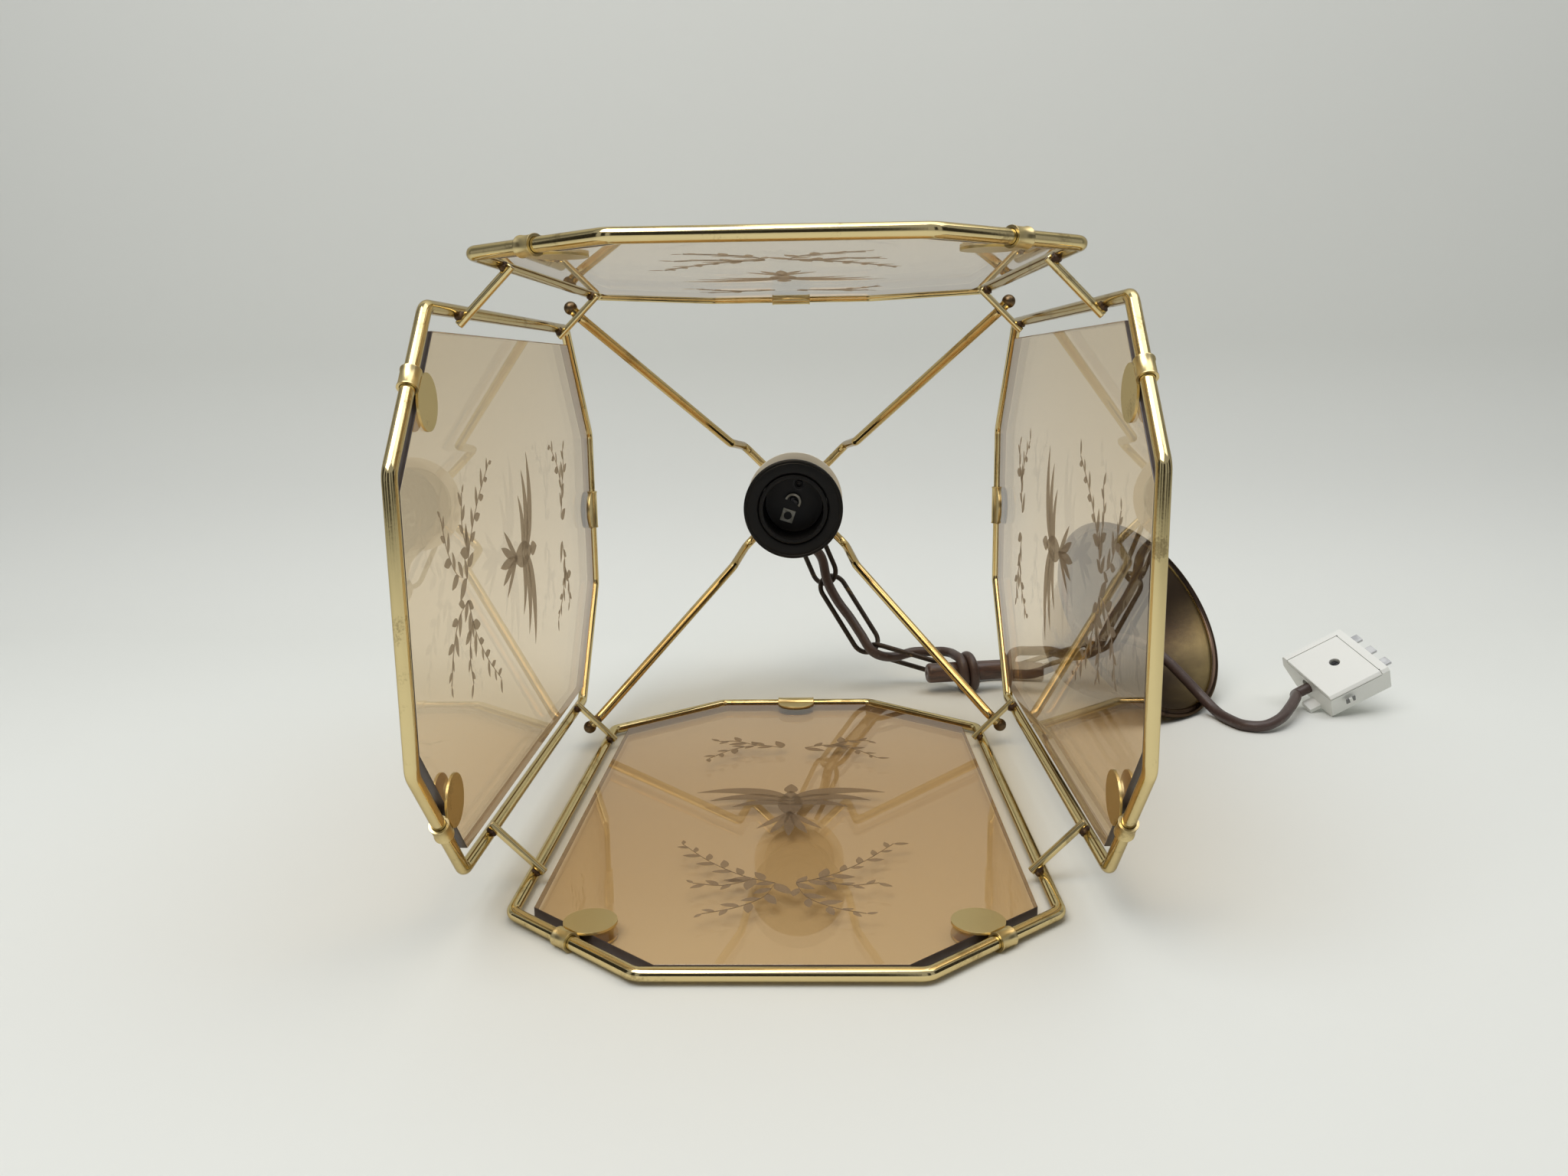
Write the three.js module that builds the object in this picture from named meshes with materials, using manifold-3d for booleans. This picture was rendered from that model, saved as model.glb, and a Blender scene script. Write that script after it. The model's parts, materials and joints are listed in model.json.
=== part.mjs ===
import * as THREE from "three";
import { mergeVertices } from "three/addons/utils/BufferGeometryUtils.js";
import Module from "manifold-3d";

// A square glass lantern for a ceiling, laid down on its lower panel with its chain, canopy and plug.
// Lengths are in millimetres. +Z is up, and +Y runs from the open mouth to the hanging loop.

// Gaps and cuts
const seatGap = 0.3;
const restGap = 0.1;
const cutOverrun = 1;
const mergeTolerance = 0.0001;

// Brass rod frames of the four panels
const rodDiameter = 5;
const panelLength = 319;
const panelCornerGap = 17;
const sideRodHalfSpan = 101;
const mouthHalfWidth = 48.7;
const mouthChamferLength = 44.8;
const crownHalfWidth = 43.6;
const crownChamferLength = 50.6;
const rodBendRadius = 7;

// Struts that tie each pair of panels together
const strutDiameter = 3.3;
const strutOverhang = 2.5;
const mouthStrutInset = 77;
const crownStrutInset = 73;

// Glass panes
const glassThickness = 4;
const glassSideInset = 8;
const glassChamferInset = 6;
const glassCrownInset = 6;

// Clips that hold the glass
const clipWall = 0.8;
const clipPlateThickness = 0.9;
const mouthClipLength = 7.6;
const mouthClipDiscDiameter = 19.5;
const mouthClipReach = 11.5;
const mouthClipPlaceShare = 0.54;
const crownClipLength = 21;
const crownClipReach = 4;

// Gallery cap, hub and loop on the lantern's axis
const capBeyondPanels = 38;
const capRimRadius = 29.3;
const capFloorRadius = 22;
const capDepth = 18;
const capWall = 1.2;
const hubRadius = 11;
const hubLength = 10.3;
const outletRadius = 5;
const outletReach = 15;
const loopInnerRadius = 9;
const loopWireDiameter = 3.2;
const loopFootRadius = 5;
const loopFootLength = 2.5;

// Arms from the hub to the struts
const armDiameter = 5;
const armBallDiameter = 6.8;
const armBallOverhang = 6.2;
const armElbowRadius = 45;
const armKneeRadius = 52;
const armKneeAhead = 49;
const armBendRadius = 7;
const armFlatLength = 2;

// Threaded nipple and the hexagonal nut between the lampholder and the cap
const nippleRadius = 5;
const nippleWall = 1.5;
const nippleEngagement = 4.5;
const nippleNutRadius = 8.5;

// Lampholder
const holderProjection = 50.5;
const holderLength = 59.5;
const holderMouthRadius = 17.3;
const holderWall = 2.4;
const holderCoverLength = 28;
const holderCoverWall = 2;
const holderShellOverlap = 8;
const holderShoulderLength = 5;
const holderEntryRadius = 12;
const shadeRingRadius = 28.5;
const shadeRingThickness = 2.6;
const shadeRingSetback = 1.5;
const shadeRingCollarLength = 14;
const shadeRingCollarWall = 3;
const insertSetback = 31.5;
const insertThickness = 9;
const contactRadius = 4.6;
const contactThickness = 1.2;
const contactTravel = 1.5;
const contactStemRadius = 1.4;
const contactStemLength = 6;
const contactOffsetX = -0.7;
const contactOffsetZ = 2.5;
const sideTabWidth = 8;
const sideTabThickness = 0.8;
const sideTabOffsetX = -3.9;
const sideTabOffsetZ = -7.1;
const terminalScrewRadius = 2.3;
const terminalScrewHead = 1.4;
const terminalShankRadius = 1.2;
const terminalShankLength = 5;
const terminalOffsetX = 3;
const terminalOffsetZ = 11.7;

// Chain links, each given by its heading and its roll about that heading
const linkLength = 59.5;
const linkWidth = 21;
const linkWireDiameter = 3.3;
const linkSlack = 0.9;
const chainHeadingShares = [
  [0.39, -0.206, -0.896],
  [0.514, -0.299, -0.804],
  [0.956, -0.048, -0.285],
];
const chainRolls = [30, -35, 55];

// Cord, with the keeper rod that it is wound on
const cordDiameter = 6;
const keeperRadius = 6.25;
const keeperLength = 51;
const keeperEndRadius = 3;
const keeperStartX = 81;
const keeperStartY = 352;
const keeperHeading = 10;
const wrapTurns = 1.5;
const wrapPitch = 6.5;
const wrapPlace = 20;
const wrapStepsPerTurn = 24;
const wrapSides = 6;

// Canopy that covers the ceiling box, lying on its side
const canopyRadius = 63.6;
const canopyHeight = 60;
const canopyWall = 1;
const canopyBeadRadius = 2.6;
const canopyNeckRadius = 19;
const canopyX = 205.1;
const canopyY = 321.9;
const canopyHeading = -48.4;
const canopyTilt = 34.1;
const bushRadius = 6;
const bushFlangeRadius = 9;
const bushFlangeThickness = 2.4;
const bushCollarRadius = 8;
const bushCollarLength = 7;
const bushNutThickness = 4;

// Three-blade plug of the lighting point, lying face up on one corner
const plugWidth = 38;
const plugHeight = 44.3;
const plugThickness = 16.2;
const plugX = 313.5;
const plugY = 311.4;
const plugYaw = 8.2;
const plugPitch = -24.7;
const plugRoll = 21.5;
const plugCornerRadius = 1.5;
const plugSlope = 11;
const plugSlopeEdge = 8;
const plugLidInset = 5;
const plugLidThickness = 2.2;
const plugBladeWidth = 5.6;
const plugBladeThickness = 1.6;
const plugBladeLength = 6.5;
const plugBladeRoot = 6;
const plugBladeDepth = 5;
const plugBladeSpacing = 12.2;
const plugScrewRadius = 2.6;
const plugScrewDepth = 6;
const plugScrewRecess = 1.6;
const plugEntryDepth = 7.4;
const plugEntryOffset = 0.5;
const plugEntryBore = 4;
const plugTailLength = 7;
const plugTailWidth = 8;
const plugTailThickness = 2.6;
const plugTailOffset = -8;

// Facets
const wireSides = 8;
const wireBendSteps = 2;
const roundSegments = 32;
const boreSegments = 16;
const cordSides = 10;

// Sizes that follow from those above
const rodRadius = rodDiameter / 2;
const strutRadius = strutDiameter / 2;
const armRadius = armDiameter / 2;
const cordRadius = cordDiameter / 2;
const linkWireRadius = linkWireDiameter / 2;
const loopWireRadius = loopWireDiameter / 2;
const clipRadius = rodRadius + seatGap + clipWall;
const cordBore = cordRadius + seatGap;
const panelPlane = sideRodHalfSpan + panelCornerGap;
const floorZ = -(panelPlane + clipRadius);
const crownStrutY = panelLength - crownStrutInset;
const capRimY = panelLength + capBeyondPanels;
const capFloorY = capRimY + capDepth;
const hubFrontY = capFloorY + capWall + seatGap;
const hubMiddleY = hubFrontY + hubLength / 2;
const loopFootY = hubFrontY + hubLength + seatGap;
const loopCentreY = loopFootY + loopWireDiameter + loopInnerRadius;
const loopWireCentre = loopInnerRadius + loopWireRadius;
const holderMouthY = capRimY - holderProjection;
const holderBackY = holderMouthY + holderLength;
const holderCoverY = holderBackY - holderCoverLength;
const holderShellRadius = holderMouthRadius + holderWall;
const holderShellBackY = holderCoverY + holderShellOverlap;
const insertY = holderMouthY + insertSetback;
const strutPlace = (sideRodHalfSpan + panelPlane) / Math.SQRT2 - rodRadius - strutRadius - seatGap;

const brass = { color: 0xb08d4a, metalness: 1, roughness: 0.3 };
const paleBrass = { color: 0xb9b39a, metalness: 1, roughness: 0.35 };
const darkBronze = { color: 0x2c2420, metalness: 0.9, roughness: 0.5 };
const bakelite = { color: 0x16130f, metalness: 0, roughness: 0.35 };
const smokedGlass = { color: 0x9a8274, metalness: 0, roughness: 0.05, transparent: true, opacity: 0.4 };
const contactMetal = { color: 0xc8a060, metalness: 1, roughness: 0.35 };
const steel = { color: 0xa8a9a8, metalness: 1, roughness: 0.4 };
const porcelain = { color: 0xe2ddd0, metalness: 0, roughness: 0.4 };
const cordSheath = { color: 0x3a2a26, metalness: 0, roughness: 0.55 };
const brownWood = { color: 0x2b1c18, metalness: 0, roughness: 0.5 };
const whitePlastic = { color: 0xd9dcdc, metalness: 0, roughness: 0.4 };
const clearNylon = { color: 0xd8d0b8, metalness: 0, roughness: 0.5 };

const wasm = await Module();
wasm.setup();

const degrees = (angle) => THREE.MathUtils.degToRad(angle);
const vec = (x, y, z) => new THREE.Vector3(x, y, z);

// A mesh that the parent carries under its own name
function place(parent, name, geometry, look) {
  const mesh = new THREE.Mesh(geometry, new THREE.MeshStandardMaterial(look));
  mesh.name = name;
  parent.add(mesh);
  return mesh;
}

// A closed geometry as a solid that can be joined and cut
function solidOf(geometry) {
  const bare = geometry.clone();
  bare.deleteAttribute("normal");
  bare.deleteAttribute("uv");
  const merged = mergeVertices(bare, mergeTolerance);
  const corners = merged.index.array;
  const kept = [];
  for (let i = 0; i < corners.length; i += 3) {
    const [a, b, c] = corners.slice(i, i + 3);
    if (a !== b && b !== c && c !== a) {
      kept.push(a, b, c);
    }
  }
  const vertProperties = new Float32Array(merged.attributes.position.array);
  return new wasm.Manifold(new wasm.Mesh({ numProp: 3, vertProperties, triVerts: new Uint32Array(kept) }));
}

function geometryOf(solid) {
  const mesh = solid.getMesh();
  const geometry = new THREE.BufferGeometry();
  geometry.setAttribute("position", new THREE.BufferAttribute(new Float32Array(mesh.vertProperties), 3));
  geometry.setIndex(new THREE.BufferAttribute(new Uint32Array(mesh.triVerts), 1));
  return geometry;
}

// Joined pieces less the cuts, as one geometry
function combine(pieces, cuts = []) {
  let solid = solidOf(pieces[0]);
  for (const piece of pieces.slice(1)) {
    solid = solid.add(solidOf(piece));
  }
  for (const cut of cuts) {
    solid = solid.subtract(solidOf(cut));
  }
  return geometryOf(solid);
}

// A hollow body turned about Y from a closed outline of radius and place along the axis
function turned(outline, segments = roundSegments) {
  const points = outline.map(([radius, along]) => new THREE.Vector2(radius, along));
  if (THREE.ShapeUtils.area(points) < 0) {
    points.reverse();
  }
  return new THREE.LatheGeometry([...points, points[0].clone()], segments);
}

// A hollow body turned about Y: its outer wall goes up, its inner wall comes back down
function tubeAlongY(outer, inner, from, to, segments = roundSegments) {
  return turned([[inner, from], [outer, from], [outer, to], [inner, to]], segments);
}

function cylinderAlongY(radius, from, to, segments = boreSegments) {
  const geometry = new THREE.CylinderGeometry(radius, radius, to - from, segments);
  geometry.translate(0, (from + to) / 2, 0);
  return geometry;
}

function cylinderAlongX(radius, from, to, segments = boreSegments) {
  return cylinderAlongY(radius, from, to, segments).rotateZ(-Math.PI / 2);
}

function cylinderAlongZ(radius, from, to, segments = boreSegments) {
  return cylinderAlongY(radius, from, to, segments).rotateX(Math.PI / 2);
}

function boxBetween(low, high) {
  const size = high.clone().sub(low);
  const geometry = new THREE.BoxGeometry(size.x, size.y, size.z);
  const centre = low.clone().add(high).multiplyScalar(1 / 2);
  geometry.translate(centre.x, centre.y, centre.z);
  return geometry;
}

function circleShape(radius, sides) {
  const shape = new THREE.Shape();
  for (let i = 0; i < sides; i += 1) {
    const angle = (2 * Math.PI * i) / sides;
    const point = [radius * Math.cos(angle), radius * Math.sin(angle)];
    if (i === 0) {
      shape.moveTo(...point);
    } else {
      shape.lineTo(...point);
    }
  }
  return shape;
}

// A path through given points, with each bend's section on the line that halves it
class Route extends THREE.Curve {
  constructor(points) {
    super();
    this.points = points;
  }

  getPoint(t, target = new THREE.Vector3()) {
    const place = t * (this.points.length - 1);
    const index = Math.min(Math.floor(place), this.points.length - 2);
    return target.lerpVectors(this.points[index], this.points[index + 1], place - index);
  }

  getPointAt(u, target) {
    return this.getPoint(u, target);
  }

  getTangent(t, target = new THREE.Vector3()) {
    const last = this.points.length - 1;
    const index = Math.round(t * last);
    const before = this.points[Math.max(index - 1, 0)];
    const here = this.points[index];
    const after = this.points[Math.min(index + 1, last)];
    const arriving = here.clone().sub(before).normalize();
    const leaving = after.clone().sub(here).normalize();
    return target.copy(arriving.add(leaving).normalize());
  }

  getTangentAt(u, target) {
    return this.getTangent(u, target);
  }
}

function wireAlong(points, radius, sides) {
  const steps = points.length - 1;
  return new THREE.ExtrudeGeometry(circleShape(radius, sides), { steps, extrudePath: new Route(points) });
}

// Points of a flat path with its corners rounded, open or closed
function rounded(corners, radius, steps, closed) {
  const points = [];
  const count = corners.length;
  corners.forEach((corner, index) => {
    const before = corners[(index + count - 1) % count];
    const after = corners[(index + 1) % count];
    if (!closed && (index === 0 || index === count - 1)) {
      points.push(corner.clone());
      return;
    }
    const back = before.clone().sub(corner).normalize();
    const ahead = after.clone().sub(corner).normalize();
    const half = back.angleTo(ahead) / 2;
    const toTangent = radius / Math.tan(half);
    const inward = back.clone().add(ahead).normalize();
    const centre = corner.clone().addScaledVector(inward, radius / Math.sin(half));
    const start = corner.clone().addScaledVector(back, toTangent).sub(centre);
    const end = corner.clone().addScaledVector(ahead, toTangent).sub(centre);
    const sweep = start.angleTo(end);
    for (let i = 0; i <= steps; i += 1) {
      const turn = (sweep * i) / steps;
      const spoke = start.clone().multiplyScalar(Math.sin(sweep - turn) / Math.sin(sweep));
      spoke.addScaledVector(end, Math.sin(turn) / Math.sin(sweep));
      points.push(spoke.add(centre));
    }
  });
  return points;
}

// A closed wire in a plane: one ring of corners at each point, joined round
function closedWire(points, normal, radius, sides) {
  const positions = [];
  const indices = [];
  const count = points.length;
  points.forEach((point, index) => {
    const arriving = point.clone().sub(points[(index + count - 1) % count]).normalize();
    const leaving = points[(index + 1) % count].clone().sub(point).normalize();
    const outward = arriving.add(leaving).normalize().cross(normal);
    for (let side = 0; side < sides; side += 1) {
      const angle = (2 * Math.PI * side) / sides;
      const corner = point.clone().addScaledVector(outward, radius * Math.cos(angle));
      corner.addScaledVector(normal, radius * Math.sin(angle));
      positions.push(corner.x, corner.y, corner.z);
      const next = (side + 1) % sides;
      const here = index * sides;
      const there = ((index + 1) % count) * sides;
      indices.push(here + side, there + side, here + next);
      indices.push(here + next, there + side, there + next);
    }
  });
  const geometry = new THREE.BufferGeometry();
  geometry.setAttribute("position", new THREE.Float32BufferAttribute(positions, 3));
  geometry.setIndex(indices);
  return geometry;
}

// Corners of a panel's rod outline, counterclockwise seen from outside, mouth edge first
const panelCorners = [
  vec(mouthHalfWidth, 0, 0),
  vec(sideRodHalfSpan, mouthChamferLength, 0),
  vec(sideRodHalfSpan, panelLength - crownChamferLength, 0),
  vec(crownHalfWidth, panelLength, 0),
  vec(-crownHalfWidth, panelLength, 0),
  vec(-sideRodHalfSpan, panelLength - crownChamferLength, 0),
  vec(-sideRodHalfSpan, mouthChamferLength, 0),
  vec(-mouthHalfWidth, 0, 0),
];

// Inset of the glass from each edge of the outline, in the same order
const paneInsets = [
  glassChamferInset,
  glassSideInset,
  glassChamferInset,
  glassCrownInset,
  glassChamferInset,
  glassSideInset,
  glassChamferInset,
  rodRadius + seatGap,
];

function insetOutline(corners, insets) {
  const count = corners.length;
  const edges = corners.map((corner, index) => {
    const along = corners[(index + 1) % count].clone().sub(corner).normalize();
    const inward = vec(-along.y, along.x, 0);
    return { point: corner.clone().addScaledVector(inward, insets[index]), along, inward };
  });
  return edges.map((edge, index) => {
    const before = edges[(index + count - 1) % count];
    const offset = edge.point.clone().sub(before.point).dot(edge.inward);
    return before.point.clone().addScaledVector(before.along, offset / before.along.dot(edge.inward));
  });
}

function makeFrame() {
  const outline = rounded(panelCorners, rodBendRadius, wireBendSteps, true);
  return closedWire(outline, vec(0, 0, 1), rodRadius, wireSides);
}

function makePane() {
  const outline = insetOutline(panelCorners, paneInsets);
  const shape = new THREE.Shape(outline.map((corner) => new THREE.Vector2(corner.x, corner.y)));
  const geometry = new THREE.ExtrudeGeometry(shape, { depth: glassThickness, bevelEnabled: false });
  return geometry.translate(0, 0, -glassThickness / 2);
}

// A clip: a sleeve on the rod along X, with a round plate on either side of the glass towards +Y
function makeClip(length, halfWidth, radius, reach) {
  const plate = new THREE.Shape();
  const shoulder = Math.acos(halfWidth / radius);
  plate.moveTo(-halfWidth, 0);
  plate.lineTo(halfWidth, 0);
  plate.lineTo(halfWidth, reach - radius * Math.sin(shoulder));
  const steps = roundSegments / 2;
  const first = -shoulder;
  const sweep = Math.PI + 2 * shoulder;
  for (let i = 1; i < steps; i += 1) {
    const angle = first + (sweep * i) / steps;
    plate.lineTo(radius * Math.cos(angle), reach + radius * Math.sin(angle));
  }
  plate.lineTo(-halfWidth, reach - radius * Math.sin(shoulder));
  const options = { depth: clipPlateThickness, bevelEnabled: false };
  const inside = glassThickness / 2 + seatGap;
  const upper = new THREE.ExtrudeGeometry(plate, options).translate(0, 0, inside);
  const lower = new THREE.ExtrudeGeometry(plate, options).translate(0, 0, -inside - clipPlateThickness);
  const sleeve = cylinderAlongX(clipRadius, -length / 2, length / 2);
  const bore = cylinderAlongX(rodRadius + seatGap, -length, length);
  return combine([sleeve, upper, lower], [bore]);
}

function addMouthClip(panel, name, side) {
  const start = vec(mouthHalfWidth, 0, 0);
  const end = vec(sideRodHalfSpan, mouthChamferLength, 0);
  const slope = Math.atan2(end.y - start.y, end.x - start.x);
  const geometry = makeClip(mouthClipLength, mouthClipLength / 2, mouthClipDiscDiameter / 2, mouthClipReach);
  geometry.rotateZ(slope);
  const spot = start.lerp(end, mouthClipPlaceShare);
  geometry.translate(spot.x, spot.y, 0);
  if (side < 0) {
    geometry.rotateY(Math.PI);
  }
  place(panel, name, geometry, brass);
}

function addCrownClip(panel, name) {
  const geometry = makeClip(crownClipLength, crownClipLength / 2, crownClipLength / 2, crownClipReach);
  geometry.rotateZ(Math.PI);
  geometry.translate(0, panelLength, 0);
  place(panel, name, geometry, brass);
}

function addPanel(parent, name, quarterTurns) {
  const panel = new THREE.Group();
  panel.rotation.y = (quarterTurns * Math.PI) / 2;
  const face = new THREE.Group();
  face.position.z = panelPlane;
  panel.add(face);
  place(face, `frame_${name}`, makeFrame(), brass);
  place(face, `glass_${name}`, makePane(), smokedGlass);
  addMouthClip(face, `clip_${name}_mouth_a`, 1);
  addMouthClip(face, `clip_${name}_mouth_b`, -1);
  addCrownClip(face, `clip_${name}_crown`);
  parent.add(panel);
}

function addStrut(parent, name, quarterTurns, y) {
  const corner = new THREE.Group();
  corner.rotation.y = (quarterTurns * Math.PI) / 2 + Math.PI / 4;
  const halfLength = (panelPlane - sideRodHalfSpan) / Math.SQRT2 + strutOverhang;
  const geometry = cylinderAlongX(strutRadius, -halfLength, halfLength, wireSides);
  geometry.translate(0, y, strutPlace);
  place(corner, `strut_${name}`, geometry, brass);
  parent.add(corner);
}

// An arm in the plane of its corner: out of the hub, forward beside the cap, then out to its strut
function addArm(parent, name, quarterTurns) {
  const corner = new THREE.Group();
  corner.rotation.y = (quarterTurns * Math.PI) / 2 + Math.PI / 4;
  const restY = crownStrutY + strutRadius + armRadius + seatGap;
  const ball = strutPlace + armBallOverhang;
  const corners = [
    vec(0, hubMiddleY, hubRadius + seatGap),
    vec(0, hubMiddleY, armElbowRadius),
    vec(0, hubMiddleY - armKneeAhead, armKneeRadius),
    vec(0, restY, strutPlace - armFlatLength),
    vec(0, restY, ball),
  ];
  const wire = wireAlong(rounded(corners, armBendRadius, wireBendSteps, false), armRadius, wireSides);
  const tip = new THREE.SphereGeometry(armBallDiameter / 2, boreSegments, wireSides);
  tip.translate(0, restY, ball);
  place(corner, `arm_${name}`, combine([wire, tip]), brass);
  parent.add(corner);
}

function addGallery(parent) {
  const cap = turned([
    [nippleRadius + seatGap, capFloorY],
    [capFloorRadius, capFloorY],
    [capRimRadius - capWall - (capRimRadius - capFloorRadius) / 4, capRimY + capDepth / 3],
    [capRimRadius - capWall, capRimY],
    [capRimRadius, capRimY],
    [capRimRadius - (capRimRadius - capFloorRadius) / 4, capRimY + capDepth / 3],
    [capFloorRadius + capWall, capFloorY + capWall / 2],
    [capFloorRadius, capFloorY + capWall],
    [nippleRadius + seatGap, capFloorY + capWall],
  ]);
  place(parent, "gallery_cap", cap, paleBrass);

  const body = cylinderAlongY(hubRadius, hubFrontY, hubFrontY + hubLength, roundSegments);
  const outlet = cylinderAlongZ(outletRadius, -outletReach, 0).translate(0, hubMiddleY, 0);
  const nippleBore = cylinderAlongY(nippleRadius + seatGap, hubFrontY - cutOverrun, hubFrontY + nippleEngagement);
  const cordBoreCut = cylinderAlongZ(cordBore, -outletReach - cutOverrun, 0).translate(0, hubMiddleY, 0);
  place(parent, "hub", combine([body, outlet], [nippleBore, cordBoreCut]), brass);

  const ring = new THREE.TorusGeometry(loopWireCentre, loopWireRadius, wireSides, roundSegments);
  ring.rotateY(Math.PI / 2);
  ring.translate(0, loopCentreY, 0);
  const foot = cylinderAlongY(loopFootRadius, loopFootY, loopFootY + loopFootLength);
  place(parent, "hanging_loop", combine([ring, foot]), brass);

  const nippleFrontY = holderBackY - nippleEngagement;
  const nippleBackY = hubFrontY + nippleEngagement - seatGap;
  const nipple = tubeAlongY(nippleRadius, nippleRadius - nippleWall, nippleFrontY, nippleBackY, boreSegments);
  place(parent, "nipple", nipple, steel);
  const nutBore = (nippleRadius + seatGap) / Math.cos(Math.PI / 6);
  const nut = tubeAlongY(nippleNutRadius, nutBore, holderBackY + seatGap, capFloorY - seatGap, 6);
  place(parent, "nipple_nut", nut, steel);
}

function addLampholder(parent) {
  const holder = new THREE.Group();
  const shell = turned([
    [holderMouthRadius, holderMouthY],
    [holderShellRadius, holderMouthY],
    [holderShellRadius, holderShellBackY],
    [holderMouthRadius, holderShellBackY],
  ]);
  place(holder, "lampholder_shell", shell, bakelite);

  const coverInner = holderShellRadius + seatGap;
  const coverOuter = coverInner + holderCoverWall;
  const shoulderY = holderBackY - holderShoulderLength;
  const cover = turned([
    [coverInner, holderCoverY],
    [coverOuter, holderCoverY],
    [coverOuter, shoulderY],
    [holderEntryRadius, holderBackY],
    [nippleRadius + seatGap, holderBackY],
    [nippleRadius + seatGap, holderBackY - holderCoverWall],
    [holderEntryRadius, holderBackY - holderCoverWall],
    [coverInner, shoulderY],
  ]);
  place(holder, "lampholder_cover", cover, bakelite);

  const ringInner = holderShellRadius + seatGap;
  const ringFrontY = holderMouthY + shadeRingSetback;
  const ring = turned([
    [ringInner, ringFrontY],
    [shadeRingRadius, ringFrontY],
    [shadeRingRadius, ringFrontY + shadeRingThickness],
    [ringInner + shadeRingCollarWall, ringFrontY + shadeRingThickness],
    [ringInner + shadeRingCollarWall, ringFrontY + shadeRingCollarLength],
    [ringInner, ringFrontY + shadeRingCollarLength],
  ], roundSegments + boreSegments / 2);
  place(holder, "shade_ring", ring, bakelite);

  const insertRadius = holderMouthRadius - seatGap;
  const insertBackY = insertY + insertThickness;
  const block = cylinderAlongY(insertRadius, insertY, insertBackY, roundSegments);
  const stemHole = cylinderAlongY(contactStemRadius + seatGap, insertY - cutOverrun, insertBackY + cutOverrun);
  stemHole.translate(contactOffsetX, 0, contactOffsetZ);
  const screwHole = cylinderAlongY(terminalShankRadius + seatGap, insertY - cutOverrun, insertBackY + cutOverrun);
  screwHole.translate(terminalOffsetX, 0, terminalOffsetZ);
  place(holder, "lampholder_insert", combine([block], [stemHole, screwHole]), porcelain);

  const buttonBackY = insertY - seatGap - contactTravel;
  const button = cylinderAlongY(contactRadius, buttonBackY - contactThickness, buttonBackY);
  const stem = cylinderAlongY(contactStemRadius, buttonBackY - contactThickness / 2, buttonBackY + contactStemLength);
  const contact = combine([button, stem]).translate(contactOffsetX, 0, contactOffsetZ);
  place(holder, "centre_contact", contact, contactMetal);

  const halfTab = sideTabWidth / 2;
  const tab = boxBetween(
    vec(sideTabOffsetX - halfTab, insertY - seatGap - sideTabThickness, sideTabOffsetZ - halfTab),
    vec(sideTabOffsetX + halfTab, insertY - seatGap, sideTabOffsetZ + halfTab),
  );
  place(holder, "side_contact", tab, contactMetal);

  const headBackY = insertY - seatGap;
  const head = cylinderAlongY(terminalScrewRadius, headBackY - terminalScrewHead, headBackY);
  const shank = cylinderAlongY(terminalShankRadius, headBackY - terminalScrewHead / 2, headBackY + terminalShankLength);
  const screw = combine([head, shank]).translate(terminalOffsetX, 0, terminalOffsetZ);
  place(holder, "terminal_screw", screw, steel);
  parent.add(holder);
}

// Where each link's near end hangs, from the loop outwards
function chainPlaces() {
  const headings = chainHeadingShares.map((heading) => vec(...heading).normalize());
  const firstPull = headings[0].clone().setX(0).normalize();
  const hang = loopInnerRadius - seatGap;
  const joints = [vec(0, loopCentreY, 0).addScaledVector(firstPull, hang)];
  const pitch = linkLength - 2 * linkWireDiameter - linkSlack;
  headings.forEach((heading, index) => {
    joints.push(joints[index].clone().addScaledVector(heading, pitch));
  });
  return { headings, joints };
}

function makeLink(start, heading, roll) {
  const across = heading.clone().cross(vec(0, 1, 0)).normalize().applyAxisAngle(heading, degrees(roll));
  const endRadius = (linkWidth - linkWireDiameter) / 2;
  const halfStraight = (linkLength - linkWireDiameter) / 2 - endRadius;
  const middle = halfStraight + endRadius - (linkWireDiameter + linkSlack) / 2;
  const centre = start.clone().addScaledVector(heading, middle);
  const points = [];
  for (const end of [1, -1]) {
    for (let i = 0; i <= wireSides; i += 1) {
      const angle = Math.PI * (i / wireSides - 1 / 2);
      const point = centre.clone().addScaledVector(heading, end * (halfStraight + endRadius * Math.cos(angle)));
      points.push(point.addScaledVector(across, end * endRadius * Math.sin(angle)));
    }
  }
  const normal = heading.clone().cross(across);
  return closedWire(points, normal, linkWireRadius, wireSides);
}

function addChain(parent) {
  const { headings, joints } = chainPlaces();
  headings.forEach((heading, index) => {
    place(parent, `chain_link_${index + 1}`, makeLink(joints[index], heading, chainRolls[index]), darkBronze);
  });
}

// The keeper rod's axis and the cord's helix round it, from over its top to under it
const wrapRadius = keeperRadius + seatGap + cordRadius;
const keeperZ = floorZ + seatGap + cordRadius + wrapRadius;
const keeperAxis = vec(Math.cos(degrees(keeperHeading)), Math.sin(degrees(keeperHeading)), 0);
const keeperFront = vec(keeperAxis.y, -keeperAxis.x, 0);
const keeperStart = vec(keeperStartX, keeperStartY, keeperZ);

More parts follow.
